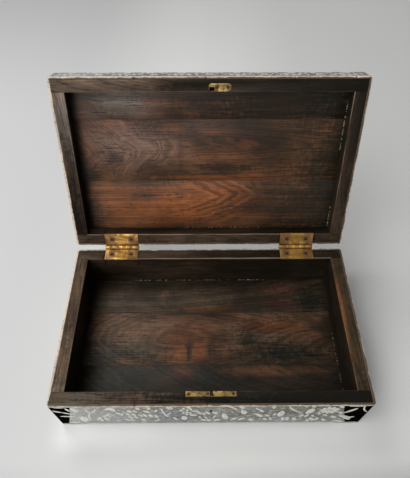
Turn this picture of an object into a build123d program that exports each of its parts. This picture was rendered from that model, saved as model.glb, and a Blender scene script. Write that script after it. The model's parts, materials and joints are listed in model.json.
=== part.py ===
"""Writing slope: a flat hinged box for papers, shown open, with its lid resting on the hinge stops.

Millimetres, +Z up, +X to the right, +Y to the back. Every piece is first made as in the closed box, in box
coordinates: x = 0 on the middle of the width, y = 0 on the outer front face, z = 0 on the ground. The lid is then
turned back about the hinge axis, and everything is moved along Y so that the origin lies in the middle of the
ground that the open box covers.
"""

import os
from math import cos, radians, sin

from build123d import *

# ---- the box
BOX_WIDTH = 362.0
BOX_DEPTH = 216.0
RIM_HEIGHT = 69.0  # ground to the rim of the base
LID_OPEN_ANGLE = 111.4  # degrees back from closed, where the hinge stops meet
RIM_GAP = 0.4  # between the two rims when closed
SIDE_WALL = 17.1  # left and right, facing included
END_WALL = 16.5  # front and back, facing included
FACING = 3.0  # thickness of the inlaid facing on the outside
EDGING_HEIGHT = 3.0  # cream strip at the outer edge of a rim, as wide as the facing is thick
CORNER_RADIUS = 3.5  # upright outer corners, in plan

# ---- the base
FLOOR_THICKNESS = 7.0
FLOOR_LIFT = 3.6  # top of the feet to the underside of the floor
GROOVE_DEPTH = 4.0  # how far the floor runs into the walls
FLOOR_FRONT_SEAM = 69.8  # from the outer front face
FLOOR_REAR_SEAM = 145.5
FOOT_HEIGHT = 6.0
FOOT_FLAT = 26.0  # sole of a foot along each outer face
FOOT_CURVE = 13.0  # length of the ogee that rises from the sole
FOOT_EDGE_RADIUS = 2.5
BASE_TAILS = 3  # dovetails at each corner

# ---- the black panels at the corners, which narrow towards the feet
LEFT_PANEL_TOP = 26.0
LEFT_PANEL_FOOT = 10.5
RIGHT_PANEL_TOP = 35.0
RIGHT_PANEL_FOOT = 19.0

# ---- the lid, with heights counted from its own rim
LID_INNER_DEPTH = 19.0
LID_BOARD = 10.0  # thickness of the top planks
LID_FRONT_SEAM = 51.7  # from the outer front face of the closed lid
LID_REAR_SEAM = 130.2
ROUND_OVER = 8.5  # radius of the outer top edge
FACING_LAP = 12.0  # how far the side facings reach in over the top
LID_TAILS = 1

# ---- dovetails
TAIL_SHARE = 0.62  # mean width of a tail as a share of its pitch
TAIL_FLARE = 1.2  # how far each side of a tail spreads over its length

# ---- the hinges
HINGE_LENGTH = 45.0
HINGE_INSET = 62.0  # from an end of the box to the middle of the nearer hinge
HINGE_AXIS_BEHIND = 3.3  # axis behind the outer back face
LEAF_THICKNESS = 1.8
LEAF_OVERHANG = 0.6  # past the inner edge of the rim
KNUCKLE_RADIUS = 2.8
KNUCKLES = 5
KNUCKLE_GAP = 0.2
PIN_RADIUS = 1.2
PIN_CLEARANCE = 0.05
STOP_REACH = 6.2  # outer edge of the stop lugs from the axis
STOP_THICKNESS = 1.2
STOP_GAP = 0.15
BARREL_CLEARANCE = 0.3  # a leaf or lug past the other leaf's knuckles
LEAF_SCREW_SPACING = 26.0
LEAF_SCREW_INSET = 8.4  # from the outer back face

# ---- the wood screws, countersunk and slotted
HINGE_SCREW_HEAD_RADIUS = 2.3
HINGE_SCREW_SHANK_RADIUS = 1.2
HINGE_SCREW_LENGTH = 13.0
LOCK_SCREW_HEAD_RADIUS = 1.8
LOCK_SCREW_SHANK_RADIUS = 0.9
LOCK_SCREW_LENGTH = 9.0
SLOT_WIDTH = 0.6
SLOT_DEPTH = 0.7

# ---- the lock in the front wall
LOCK_LENGTH = 57.0
SELVEDGE_WIDTH = 6.0  # top plate, front to back, and the depth of the lock
SELVEDGE_THICKNESS = 1.6
LOCK_HEIGHT = 36.0
BACK_PLATE = 1.2
CAP_THICKNESS = 1.0
CAP_RIGHT = 12.4  # outer side of the cap, from the middle of the box
CAP_LEFT = 15.6
SELVEDGE_SLOT_LEFT = -0.9
SELVEDGE_SLOT_RIGHT = 1.7
LOCK_SCREW_INSET = 3.6  # end screws of the selvedge from its ends
MIDDLE_SCREW_X = -3.4
BACK_SCREW_DROP = 28.0
KEY_DROP = 17.0  # rim to the middle of the keyhole
KEY_PIN_RADIUS = 1.2
KEY_PIN_REACH = 8.0  # in front of the back plate
KEYHOLE_RADIUS = 2.2
KEYHOLE_SLOT_WIDTH = 1.9
KEYHOLE_SLOT_LENGTH = 6.5
BOLT_TRAVEL = 5.5
BOLT_RUN = 0.3  # clearance in front of the bolt and behind it
BOLT_END_ROOM = 1.9  # left above the thrown bolt and below the withdrawn one
BLADE_LEFT = 0.0
BLADE_RIGHT = 1.3
BLADE_SUNK = 0.6  # top of the withdrawn blade below the rim
BOLT_LEFT = 9.0  # half widths of the bolt's plate, from the middle of the box
BOLT_RIGHT = 11.0
TALON_HALF_WIDTH = 6.8  # window in the bolt's plate for the key's bit
TALON_ROOM_ABOVE = 3.6  # from the key pin up to the window's top, bolt withdrawn
TALON_ROOM_BELOW = 0.9  # from the key pin down to the window's foot, bolt thrown
BOLT_FOOT_BAR = 3.4  # height of the plate below its window
SPRING_THICKNESS = 0.5
SPRING_BOW = 2.2
SPRING_FOOT_SHARE = 0.25  # of the spring's height, flat against the cap
SPRING_TOUCH_SHARE = 0.67  # of the spring's height, where it comes nearest to the bolt

# ---- the strike in the lid's front rail
STRIKE_LEFT = -0.9
STRIKE_LENGTH = 25.0
STRIKE_WIDTH = 8.6
STRIKE_FRONT = 7.4  # from the outer front face
STRIKE_THICKNESS = 1.6
STRIKE_CORNER = 3.0
STRIKE_BORDER = 1.0
STRIKE_RECESS = 0.5
STRIKE_HOLE_LEFT = -0.35
STRIKE_HOLE_RIGHT = 5.4
STRIKE_HOLE_MARGIN = 0.5  # round the blade, front and back
STRIKE_SCREW_LEFT = 8.9
STRIKE_SCREW_RIGHT = 20.6
MORTISE_ROOM = 3.5  # beyond the thrown blade
FIT = 0.1  # round the let-in brass

# ---- worked out from the sizes above
HALF_WIDTH = BOX_WIDTH / 2
INNER_X = HALF_WIDTH - SIDE_WALL
BOARD_X = HALF_WIDTH - FACING
INNER_BACK = BOX_DEPTH - END_WALL
FLOOR_UNDER = FOOT_HEIGHT + FLOOR_LIFT
FLOOR_TOP = FLOOR_UNDER + FLOOR_THICKNESS
LID_TOP = LID_INNER_DEPTH + LID_BOARD + FACING
LID_RIM = RIM_HEIGHT + RIM_GAP
AXIS_Y = BOX_DEPTH + HINGE_AXIS_BEHIND
AXIS_Z = RIM_HEIGHT + RIM_GAP / 2
STOP_ANGLE = LID_OPEN_ANGLE / 2
LOCK_FRONT = END_WALL - SELVEDGE_WIDTH
WORKS_FRONT = LOCK_FRONT + CAP_THICKNESS
WORKS_BACK = END_WALL - BACK_PLATE
BOLT_FRONT = WORKS_FRONT + BOLT_RUN
BOLT_BACK = WORKS_BACK - BOLT_RUN
BOLT_TOP_DROP = SELVEDGE_THICKNESS + BOLT_TRAVEL + BOLT_END_ROOM
TALON_TOP_DROP = KEY_DROP - KEY_PIN_RADIUS - TALON_ROOM_ABOVE
TALON_FOOT_DROP = KEY_DROP + KEY_PIN_RADIUS + BOLT_TRAVEL + TALON_ROOM_BELOW
BOLT_FOOT_DROP = TALON_FOOT_DROP + BOLT_FOOT_BAR
CAP_DROP = BOLT_FOOT_DROP + BOLT_END_ROOM + CAP_THICKNESS
MORTISE_DEPTH = BOLT_TRAVEL - BLADE_SUNK - RIM_GAP + MORTISE_ROOM
KEY_Z = RIM_HEIGHT - KEY_DROP


def footprint_back():
    """Return y of the rearmost point of the open lid, which is on its rounded outer edge."""
    angle = radians(LID_OPEN_ANGLE)
    centre_y = -(AXIS_Y - ROUND_OVER)
    centre_z = LID_RIM + LID_TOP - ROUND_OVER - AXIS_Z
    return AXIS_Y + centre_y * cos(angle) + centre_z * sin(angle) + ROUND_OVER


ORIGIN_Y = footprint_back() / 2


# ---- plain shapes
def block(x0, x1, y0, y1, z0, z1):
    """Return a block between the given coordinates."""
    return Pos((x0 + x1) / 2, (y0 + y1) / 2, (z0 + z1) / 2) * Box(x1 - x0, y1 - y0, z1 - z0)


def prism_up(points, z0, z1):
    """Return a prism over a plan outline."""
    return extrude(Plane.XY.offset(z0) * Polygon(*points, align=None), z1 - z0, dir=(0, 0, 1))


def prism_across(points, x0, x1):
    """Return a prism along X over an outline of (y, z) points."""
    return extrude(Plane.YZ.offset(x0) * Polygon(*points, align=None), x1 - x0, dir=(1, 0, 0))


def prism_back(points, y0, y1):
    """Return a prism along Y over an outline of (x, z) points."""
    plane = Plane(origin=(0, y0, 0), x_dir=(1, 0, 0), z_dir=(0, -1, 0))
    return extrude(plane * Polygon(*points, align=None), y1 - y0, dir=(0, 1, 0))


def cylinder_across(radius, x0, x1, y, z):
    """Return a cylinder along X."""
    return Pos((x0 + x1) / 2, y, z) * Rot(0, 90, 0) * Cylinder(radius, x1 - x0)


def cylinder_back(radius, x, y0, y1, z):
    """Return a cylinder along Y."""
    return Pos(x, (y0 + y1) / 2, z) * Rot(90, 0, 0) * Cylinder(radius, y1 - y0)


def envelope(z0, z1):
    """Return the box's outer shape in plan, with its rounded upright corners."""
    plan = Pos(0, BOX_DEPTH / 2) * RectangleRounded(BOX_WIDTH, BOX_DEPTH, CORNER_RADIUS)
    return extrude(Plane.XY.offset(z0) * plan, z1 - z0)


def mitred_ring(width, z0, z1):
    """Return the four mitred sides of a frame that follows the outer faces."""
    outer = [(-HALF_WIDTH, 0), (HALF_WIDTH, 0), (HALF_WIDTH, BOX_DEPTH), (-HALF_WIDTH, BOX_DEPTH)]
    inner_x = HALF_WIDTH - width
    inner = [(-inner_x, width), (inner_x, width), (inner_x, BOX_DEPTH - width), (-inner_x, BOX_DEPTH - width)]
    sides = {}
    for corner, name in enumerate(["front", "right", "back", "left"]):
        following = (corner + 1) % 4
        outline = [outer[corner], outer[following], inner[following], inner[corner]]
        sides[name] = prism_up(outline, z0, z1)
    return sides


def wood_screw(head_radius, shank_radius, length, slotted=True):
    """Return a countersunk screw whose head is flush with z = 0 and whose point is down."""
    cone_height = head_radius - shank_radius
    head = Pos(0, 0, -cone_height / 2) * Cone(shank_radius, head_radius, cone_height)
    shank = Pos(0, 0, -length / 2) * Cylinder(shank_radius, length)
    screw = head + shank
    if slotted:
        screw -= Pos(0, 0, -SLOT_DEPTH / 2) * Box(2 * head_radius, SLOT_WIDTH, SLOT_DEPTH)
    return screw


# ---- screw places, in the closed box
def hinge_middles():
    """Return x of the middle of each hinge."""
    middle = HALF_WIDTH - HINGE_INSET
    return {"left": -middle, "right": middle}


def leaf_screw_places():
    """Return (x, y) of the screws in one leaf of each hinge."""
    y = BOX_DEPTH - LEAF_SCREW_INSET
    offsets = [-LEAF_SCREW_SPACING / 2, LEAF_SCREW_SPACING / 2]
    return [(middle + offset, y) for middle in hinge_middles().values() for offset in offsets]


def hinge_screws(upper, slotted=True):
    """Return the screws of the lid leaves (upper) or of the base leaves."""
    screws = []
    for x, y in leaf_screw_places():
        screw = wood_screw(HINGE_SCREW_HEAD_RADIUS, HINGE_SCREW_SHANK_RADIUS, HINGE_SCREW_LENGTH, slotted)
        if upper:
            screws.append(Pos(x, y, LID_RIM) * Rot(180, 0, 0) * screw)
        else:
            screws.append(Pos(x, y, RIM_HEIGHT) * screw)
    return screws


def lock_screws(slotted=True):
    """Return the three screws of the selvedge and the two of the back plate."""
    screws = []
    middle_y = END_WALL - SELVEDGE_WIDTH / 2
    end_x = LOCK_LENGTH / 2 - LOCK_SCREW_INSET
    for x in [-end_x, MIDDLE_SCREW_X, end_x]:
        length = LOCK_SCREW_LENGTH
        if x == MIDDLE_SCREW_X:
            length = SELVEDGE_THICKNESS
        screw = wood_screw(LOCK_SCREW_HEAD_RADIUS, LOCK_SCREW_SHANK_RADIUS, length, slotted)
        screws.append(Pos(x, middle_y, RIM_HEIGHT) * screw)
    for x in [-end_x, end_x]:
        screw = wood_screw(LOCK_SCREW_HEAD_RADIUS, LOCK_SCREW_SHANK_RADIUS, LOCK_SCREW_LENGTH, slotted)
        place = Pos(x, END_WALL, RIM_HEIGHT - BACK_SCREW_DROP)
        screws.append(place * Rot(-90, 0, 0) * screw)
    return screws


def strike_screws(slotted=True):
    """Return the two screws of the strike, whose heads lie in its recess."""
    screws = []
    y = STRIKE_FRONT + STRIKE_WIDTH / 2
    for x in [STRIKE_SCREW_LEFT, STRIKE_SCREW_RIGHT]:
        screw = wood_screw(LOCK_SCREW_HEAD_RADIUS, LOCK_SCREW_SHANK_RADIUS, LOCK_SCREW_LENGTH, slotted)
        screws.append(Pos(x, y, LID_RIM + STRIKE_RECESS) * Rot(180, 0, 0) * screw)
    return screws


# ---- dovetailed corners
def tails(side, at_front, z0, z1, count):
    """Return the tails of one side board at one end wall, between two heights."""
    inner, outer = (END_WALL, FACING) if at_front else (INNER_BACK, BOX_DEPTH - FACING)
    x0, x1 = sorted([side * INNER_X, side * BOARD_X])
    pitch = (z1 - z0) / count
    mean = pitch * TAIL_SHARE / 2
    solids = []
    for index in range(count):
        middle = z0 + pitch * (index + 0.5)
        root = mean - TAIL_FLARE / 2
        tip = mean + TAIL_FLARE / 2
        outline = [(inner, middle - root), (inner, middle + root), (outer, middle + tip), (outer, middle - tip)]
        solids.append(prism_across(outline, x0, x1))
    return solids


def side_board(side, z0, z1, count):
    """Return a side board with its tails."""
    x0, x1 = sorted([side * INNER_X, side * BOARD_X])
    board = block(x0, x1, END_WALL, INNER_BACK, z0, z1)
    return board + tails(side, True, z0, z1, count) + tails(side, False, z0, z1, count)


def end_board(at_front, z0, z1, count):
    """Return a front or back board with the sockets for the tails."""
    y0, y1 = (FACING, END_WALL) if at_front else (INNER_BACK, BOX_DEPTH - FACING)
    board = block(-BOARD_X, BOARD_X, y0, y1, z0, z1)
    return board - tails(-1, at_front, z0, z1, count) - tails(1, at_front, z0, z1, count)


# ---- the base
def floor_planks():
    """Return the three floor planks, which run into grooves in the walls."""
    x = INNER_X + GROOVE_DEPTH
    edges = [END_WALL - GROOVE_DEPTH, FLOOR_FRONT_SEAM, FLOOR_REAR_SEAM, INNER_BACK + GROOVE_DEPTH]
    names = ["base_floor_front", "base_floor_middle", "base_floor_rear"]
    planks = {}
    for index, name in enumerate(names):
        planks[name] = block(-x, x, edges[index], edges[index + 1], FLOOR_UNDER, FLOOR_TOP)
    return planks


def floor_groove():
    """Return the whole floor as one block, for the grooves."""
    x = INNER_X + GROOVE_DEPTH
    return block(-x, x, END_WALL - GROOVE_DEPTH, INNER_BACK + GROOVE_DEPTH, FLOOR_UNDER, FLOOR_TOP)


def leaf_pockets():
    """Return the shallow pockets for the hinge leaves, in both rims of the closed box."""
    pockets = []
    half = HINGE_LENGTH / 2 + FIT
    for middle in hinge_middles().values():
        y0 = INNER_BACK - LEAF_OVERHANG
        y1 = BOX_DEPTH
        pockets.append(block(middle - half, middle + half, y0, y1, RIM_HEIGHT - LEAF_THICKNESS, RIM_HEIGHT))
        pockets.append(block(middle - half, middle + half, y0, y1, LID_RIM, LID_RIM + LEAF_THICKNESS))
    return pockets


def lock_pocket():
    """Return the room that the lock takes up in the front wall."""
    return selvedge_and_back(FIT) + cap_room(FIT)


def keyhole(y0, y1):
    """Return a keyhole between two depths: a round top over a slot."""
    top = cylinder_back(KEYHOLE_RADIUS, 0, y0, y1, KEY_Z)
    half = KEYHOLE_SLOT_WIDTH / 2
    slot = block(-half, half, y0, y1, KEY_Z - KEYHOLE_SLOT_LENGTH, KEY_Z)
    return top + slot


def base_walls():
    """Return the four walls of the base."""
    bottom = FOOT_HEIGHT
    groove = floor_groove()
    front = end_board(True, bottom, RIM_HEIGHT, BASE_TAILS) - groove - lock_pocket()
    front = front - keyhole(FACING, LOCK_FRONT) - lock_screws(slotted=False)
    back = end_board(False, bottom, RIM_HEIGHT, BASE_TAILS) - groove - leaf_pockets()
    back = back - hinge_screws(upper=False, slotted=False)
    return {
        "base_front_board": front,
        "base_back_board": back,
        "base_left_board": side_board(-1, bottom, RIM_HEIGHT, BASE_TAILS) - groove,
        "base_right_board": side_board(1, bottom, RIM_HEIGHT, BASE_TAILS) - groove,
    }


def foot_section():
    """Return a foot seen along one outer face: that corner at 0, the sole running inwards, then the ogee."""
    sole_end = FOOT_FLAT
    top_end = FOOT_FLAT + FOOT_CURVE
    middle = (FOOT_FLAT + FOOT_CURVE / 2, FOOT_HEIGHT / 2)
    lean = FOOT_CURVE / 4
    lower = Bezier((sole_end, 0), (sole_end + lean, 0), middle)
    upper = Bezier(middle, (top_end - lean, FOOT_HEIGHT), (top_end, FOOT_HEIGHT))
    sides = Polyline((top_end, FOOT_HEIGHT), (0, FOOT_HEIGHT), (0, 0), (sole_end, 0))
    return make_face([lower, upper, sides])


def on_outline(edge):
    """Say whether an edge of a foot lies on the outer faces of the box or round its corner."""
    centre = edge.center()
    return centre.X + HALF_WIDTH < CORNER_RADIUS / 2 or centre.Y < CORNER_RADIUS / 2


def front_left_foot():
    """Return the front left foot, with an ogee along each of its outer faces."""
    reach = FOOT_FLAT + FOOT_CURVE
    from_front = Plane(origin=(-HALF_WIDTH, 0, 0), x_dir=(1, 0, 0), z_dir=(0, -1, 0))
    from_side = Plane(origin=(-HALF_WIDTH, 0, 0), x_dir=(0, 1, 0), z_dir=(1, 0, 0))
    seen_from_front = extrude(from_front * foot_section(), reach, dir=(0, 1, 0))
    seen_from_side = extrude(from_side * foot_section(), reach, dir=(1, 0, 0))
    solid = seen_from_front & seen_from_side & envelope(0, FOOT_HEIGHT)
    sole = solid.faces().sort_by(Axis.Z)[0]
    return fillet([edge for edge in sole.edges() if on_outline(edge)], FOOT_EDGE_RADIUS)


def feet():
    """Return the four feet, mirrored from one."""
    middle = Plane(origin=(0, BOX_DEPTH / 2, 0), x_dir=(1, 0, 0), z_dir=(0, 1, 0))
    foot = front_left_foot()
    right = foot.mirror(Plane.YZ)
    return {
        "foot_front_left": foot,
        "foot_front_right": right,
        "foot_rear_left": foot.mirror(middle),
        "foot_rear_right": right.mirror(middle),
    }


def corner_panel_cutters(at_front):
    """Return the sloping prisms that cut the black panels out of the front or back facing."""
    low, high = FOOT_HEIGHT, RIM_HEIGHT - EDGING_HEIGHT
    y0, y1 = (0, FACING) if at_front else (BOX_DEPTH - FACING, BOX_DEPTH)
    left = [
        (-HALF_WIDTH, low),
        (-HALF_WIDTH + LEFT_PANEL_FOOT, low),
        (-HALF_WIDTH + LEFT_PANEL_TOP, high),
        (-HALF_WIDTH, high),
    ]
    right = [
        (HALF_WIDTH, low),
        (HALF_WIDTH - RIGHT_PANEL_FOOT, low),
        (HALF_WIDTH - RIGHT_PANEL_TOP, high),
        (HALF_WIDTH, high),
    ]
    return {"left": prism_back(left, y0, y1), "right": prism_back(right, y0, y1)}


def side_panel_cutters(side, top, foot_width):
    """Return the sloping prisms that cut the black panels out of a side facing."""
    low, high = FOOT_HEIGHT, RIM_HEIGHT - EDGING_HEIGHT
    x0, x1 = sorted([side * (HALF_WIDTH - FACING), side * HALF_WIDTH])
    front = [(0, low), (foot_width, low), (top, high), (0, high)]
    rear = [(BOX_DEPTH - y, z) for y, z in front]
    return {"front": prism_across(front, x0, x1), "rear": prism_across(rear, x0, x1)}


def base_facings():
    """Return the facing of each side, with the mitred black panels cut out of its ends."""
    low, high = FOOT_HEIGHT, RIM_HEIGHT - EDGING_HEIGHT
    ring = mitred_ring(FACING, low, high)
    outer = envelope(low, high)
    ends = {"front": corner_panel_cutters(True), "rear": corner_panel_cutters(False)}
    sides = {
        "left": side_panel_cutters(-1, LEFT_PANEL_TOP, LEFT_PANEL_FOOT),
        "right": side_panel_cutters(1, RIGHT_PANEL_TOP, RIGHT_PANEL_FOOT),
    }
    nodes = {}
    for end, wall in [("front", "front"), ("rear", "back")]:
        for side in ["left", "right"]:
            nodes[f"{end}_{side}_panel_on_{wall}"] = ring[wall] & outer & ends[end][side]
            nodes[f"{end}_{side}_panel_on_side"] = ring[side] & outer & sides[side][end]
    front = ring["front"] & outer
    nodes["base_front_veneer"] = front - list(ends["front"].values()) - keyhole(0, FACING)
    nodes["base_back_veneer"] = (ring["back"] & outer) - list(ends["rear"].values())
    for side in ["left", "right"]:
        nodes[f"base_{side}_veneer"] = (ring[side] & outer) - list(sides[side].values())
    return nodes


def base_edging():
    """Return the cream strips at the rim of the base, cut away behind the hinges."""
    low, high = RIM_HEIGHT - EDGING_HEIGHT, RIM_HEIGHT
    ring = mitred_ring(FACING, low, high)
    outer = envelope(low, high)
    nodes = {f"base_{name}_edging": strip & outer for name, strip in ring.items()}
    nodes["base_back_edging"] -= leaf_pockets()
    return nodes


# ---- the lid, as closed
def lid_frame():
    """Return the four rails of the lid."""
    low, high = LID_RIM, LID_RIM + LID_INNER_DEPTH
    front = end_board(True, low, high, LID_TAILS) - strike_pocket() - bolt_mortise()
    front = front - strike_screws(slotted=False)
    back = end_board(False, low, high, LID_TAILS) - leaf_pockets() - hinge_screws(upper=True, slotted=False)
    return {
        "lid_front_rail": front,
        "lid_back_rail": back,
        "lid_left_rail": side_board(-1, low, high, LID_TAILS),
        "lid_right_rail": side_board(1, low, high, LID_TAILS),
    }


def lid_planks():
    """Return the three planks of the lid's top."""
    low = LID_RIM + LID_INNER_DEPTH
    edges = [FACING, LID_FRONT_SEAM, LID_REAR_SEAM, BOX_DEPTH - FACING]
    names = ["lid_top_front_board", "lid_top_middle_board", "lid_top_rear_board"]
    planks = {}
    for index, name in enumerate(names):
        planks[name] = block(-BOARD_X, BOARD_X, edges[index], edges[index + 1], low, low + LID_BOARD)
    return planks


def rounded_section(span, low, high):
    """Return a section of the lid from its edging up, with both top edges rounded over."""
    shape = Pos(0, (low + high) / 2) * Rectangle(span, high - low)
    return fillet(shape.vertices().group_by(Axis.Y)[-1], ROUND_OVER)


def lid_outside():
    """Return the solid outer shape of the lid above its edging, rounded over along all four top edges."""
    low, high = LID_RIM + EDGING_HEIGHT, LID_RIM + LID_TOP
    across = Plane(origin=(0, 0, 0), x_dir=(1, 0, 0), z_dir=(0, -1, 0))
    along = Plane(origin=(-HALF_WIDTH, BOX_DEPTH / 2, 0), x_dir=(0, 1, 0), z_dir=(1, 0, 0))
    seen_from_front = extrude(across * rounded_section(BOX_WIDTH, low, high), BOX_DEPTH, dir=(0, 1, 0))
    seen_from_side = extrude(along * rounded_section(BOX_DEPTH, low, high), BOX_WIDTH, dir=(1, 0, 0))
    return seen_from_front & seen_from_side & envelope(low, high)


def lid_skin():
    """Return the four side facings, which turn over the top edge, and the veneer of the top."""
    low, high = LID_RIM + EDGING_HEIGHT, LID_RIM + LID_TOP
    core = block(-BOARD_X, BOARD_X, FACING, BOX_DEPTH - FACING, low, high - FACING)
    shell = lid_outside() - core
    field_x = HALF_WIDTH - FACING_LAP
    field = block(-field_x, field_x, FACING_LAP, BOX_DEPTH - FACING_LAP, high - FACING, high)
    nodes = {"lid_top_veneer": shell & field}
    for name, side in mitred_ring(FACING_LAP, low, high).items():
        nodes[f"lid_{name}_facing"] = shell & side
    return nodes


def lid_edging():
    """Return the cream strips at the rim of the lid."""
    low, high = LID_RIM, LID_RIM + EDGING_HEIGHT
    ring = mitred_ring(FACING, low, high)
    outer = envelope(low, high)
    nodes = {f"lid_{name}_edging": strip & outer for name, strip in ring.items()}
    nodes["lid_back_edging"] -= leaf_pockets()
    return nodes


# ---- the hinges
def knuckle_spans(middle):
    """Return the x range of each knuckle of a hinge, from left to right."""
    pitch = HINGE_LENGTH / KNUCKLES
    left = middle - HINGE_LENGTH / 2
    return [(left + pitch * index, left + pitch * (index + 1)) for index in range(KNUCKLES)]


def stop_lug(x0, x1, inner, sign):
    """Return a stop lug from a radius out; sign is -1 for the base leaf and 1 for the lid leaf."""
    face = STOP_GAP / 2
    back = face + STOP_THICKNESS
    outline = [(inner, face), (STOP_REACH, face), (STOP_REACH, back), (inner, back)]
    lug = prism_across([(y, sign * z) for y, z in outline], x0, x1)
    return Pos(0, AXIS_Y, AXIS_Z) * lug.rotate(Axis.X, sign * STOP_ANGLE)


def leaf(middle, sign):
    """Return a leaf with its knuckles and stop lug; sign is -1 for the base leaf and 1 for the lid leaf."""
    spans = knuckle_spans(middle)
    own = spans[0::2] if sign < 0 else spans[1::2]
    other = spans[1::2] if sign < 0 else spans[0::2]
    x0, x1 = middle - HINGE_LENGTH / 2, middle + HINGE_LENGTH / 2
    face = AXIS_Z + sign * RIM_GAP / 2
    z0, z1 = sorted([face, face + sign * LEAF_THICKNESS])
    solid = block(x0, x1, INNER_BACK - LEAF_OVERHANG, AXIS_Y, z0, z1)
    solid += stop_lug(x0, x1, KNUCKLE_RADIUS + BARREL_CLEARANCE, sign)
    half_gap = KNUCKLE_GAP / 2
    room = KNUCKLE_RADIUS + BARREL_CLEARANCE
    for start, end in other:
        solid -= cylinder_across(room, start - half_gap, end + half_gap, AXIS_Y, AXIS_Z)
    for start, end in own:
        left = max(x0, start + half_gap) if start > x0 else x0
        right = min(x1, end - half_gap) if end < x1 else x1
        solid += cylinder_across(KNUCKLE_RADIUS, left, right, AXIS_Y, AXIS_Z)
        solid += stop_lug(left, right, PIN_RADIUS, sign)
    bore = PIN_RADIUS if sign < 0 else PIN_RADIUS + PIN_CLEARANCE
    solid -= cylinder_across(bore, x0, x1, AXIS_Y, AXIS_Z)
    return solid - hinge_screws(upper=sign > 0, slotted=False)


def hinge_pin(middle):
    """Return the pin of a hinge, as long as its barrel."""
    half = HINGE_LENGTH / 2
    return cylinder_across(PIN_RADIUS, middle - half, middle + half, AXIS_Y, AXIS_Z)


# ---- the lock
def selvedge_and_back(grow):
    """Return the lock's top plate and back plate, grown by a clearance where they lie in the wood."""
    x = LOCK_LENGTH / 2 + grow
    top_foot = RIM_HEIGHT - SELVEDGE_THICKNESS
    top = block(-x, x, LOCK_FRONT - grow, END_WALL, top_foot, RIM_HEIGHT)
    back = block(-x, x, WORKS_BACK, END_WALL, RIM_HEIGHT - LOCK_HEIGHT - grow, RIM_HEIGHT)
    return top + back


def cap_room(grow):
    """Return the outside of the lock's cap, grown by a clearance."""
    foot_z = RIM_HEIGHT - CAP_DROP - grow
    top_z = RIM_HEIGHT - SELVEDGE_THICKNESS
    return block(-CAP_LEFT - grow, CAP_RIGHT + grow, LOCK_FRONT - grow, WORKS_BACK, foot_z, top_z)


def lock_plate():
    """Return the selvedge and back plate, with the slot for the bolt's blade and the screw holes."""
    plate = selvedge_and_back(0)
    top_foot = RIM_HEIGHT - SELVEDGE_THICKNESS
    plate -= block(SELVEDGE_SLOT_LEFT, SELVEDGE_SLOT_RIGHT, LOCK_FRONT, END_WALL, top_foot, RIM_HEIGHT)
    plate -= cylinder_back(KEY_PIN_RADIUS, 0, WORKS_BACK, END_WALL, KEY_Z)
    return plate - lock_screws(slotted=False)


def lock_cap():
    """Return the cap over the works, open towards the back plate, with its keyhole."""
    wall = CAP_THICKNESS
    inside = block(
        -CAP_LEFT + wall,
        CAP_RIGHT - wall,
        WORKS_FRONT,
        WORKS_BACK,
        RIM_HEIGHT - CAP_DROP + wall,
        RIM_HEIGHT - SELVEDGE_THICKNESS,
    )
    return cap_room(0) - inside - keyhole(LOCK_FRONT, WORKS_FRONT)


def lock_bolt():
    """Return the withdrawn bolt: a plate with a window for the key's bit, and a blade at its top."""
    top = RIM_HEIGHT - BOLT_TOP_DROP
    foot_z = RIM_HEIGHT - BOLT_FOOT_DROP
    plate = block(-BOLT_LEFT, BOLT_RIGHT, BOLT_FRONT, BOLT_BACK, foot_z, top)
    talon_foot = RIM_HEIGHT - TALON_FOOT_DROP
    talon_top = RIM_HEIGHT - TALON_TOP_DROP
    plate -= block(-TALON_HALF_WIDTH, TALON_HALF_WIDTH, BOLT_FRONT, BOLT_BACK, talon_foot, talon_top)
    return plate + block(BLADE_LEFT, BLADE_RIGHT, BOLT_FRONT, BOLT_BACK, top, RIM_HEIGHT - BLADE_SUNK)


def lock_spring():
    """Return the bowed leaf spring between the cap's left wall and the bolt."""
    wall = -CAP_LEFT + CAP_THICKNESS
    near = -BOLT_LEFT - BOLT_RUN - SPRING_THICKNESS
    foot_z = RIM_HEIGHT - BOLT_FOOT_DROP
    top_z = RIM_HEIGHT - BOLT_TOP_DROP
    length = top_z - foot_z
    line = [
        (wall, foot_z),
        (wall, foot_z + length * SPRING_FOOT_SHARE),
        (near, foot_z + length * SPRING_TOUCH_SHARE),
        (near - SPRING_BOW, top_z),
    ]
    outline = line + [(x + SPRING_THICKNESS, z) for x, z in reversed(line)]
    return prism_back(outline, BOLT_FRONT, BOLT_BACK)


def lock_key_pin():
    """Return the pin that a pipe key slides on to, fixed in the back plate."""
    return cylinder_back(KEY_PIN_RADIUS, 0, WORKS_BACK - KEY_PIN_REACH, END_WALL, KEY_Z)


# ---- the strike
def strike_plan(grow):
    """Return the strike's outline, grown outwards by a clearance or inwards by a border."""
    centre = Pos(STRIKE_LEFT + STRIKE_LENGTH / 2, STRIKE_FRONT + STRIKE_WIDTH / 2)
    return centre * RectangleRounded(STRIKE_LENGTH + 2 * grow, STRIKE_WIDTH + 2 * grow, STRIKE_CORNER + grow)


def strike_hole(z0, z1):
    """Return the opening that the blade enters, in the strike or in the wood behind it."""
    y0 = BOLT_FRONT - STRIKE_HOLE_MARGIN
    y1 = BOLT_BACK + STRIKE_HOLE_MARGIN
    return block(STRIKE_HOLE_LEFT, STRIKE_HOLE_RIGHT, y0, y1, z0, z1)


def strike_plate():
    """Return the strike: a plate with a raised border, a hollow field and an opening at its left end."""
    top = LID_RIM + STRIKE_THICKNESS
    plate = extrude(Plane.XY.offset(LID_RIM) * strike_plan(0), STRIKE_THICKNESS)
    plate -= extrude(Plane.XY.offset(LID_RIM) * strike_plan(-STRIKE_BORDER), STRIKE_RECESS)
    return plate - strike_hole(LID_RIM, top) - strike_screws(slotted=False)


def strike_pocket():
    """Return the pocket for the strike in the lid's front rail."""
    return extrude(Plane.XY.offset(LID_RIM) * strike_plan(FIT), STRIKE_THICKNESS)


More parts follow.
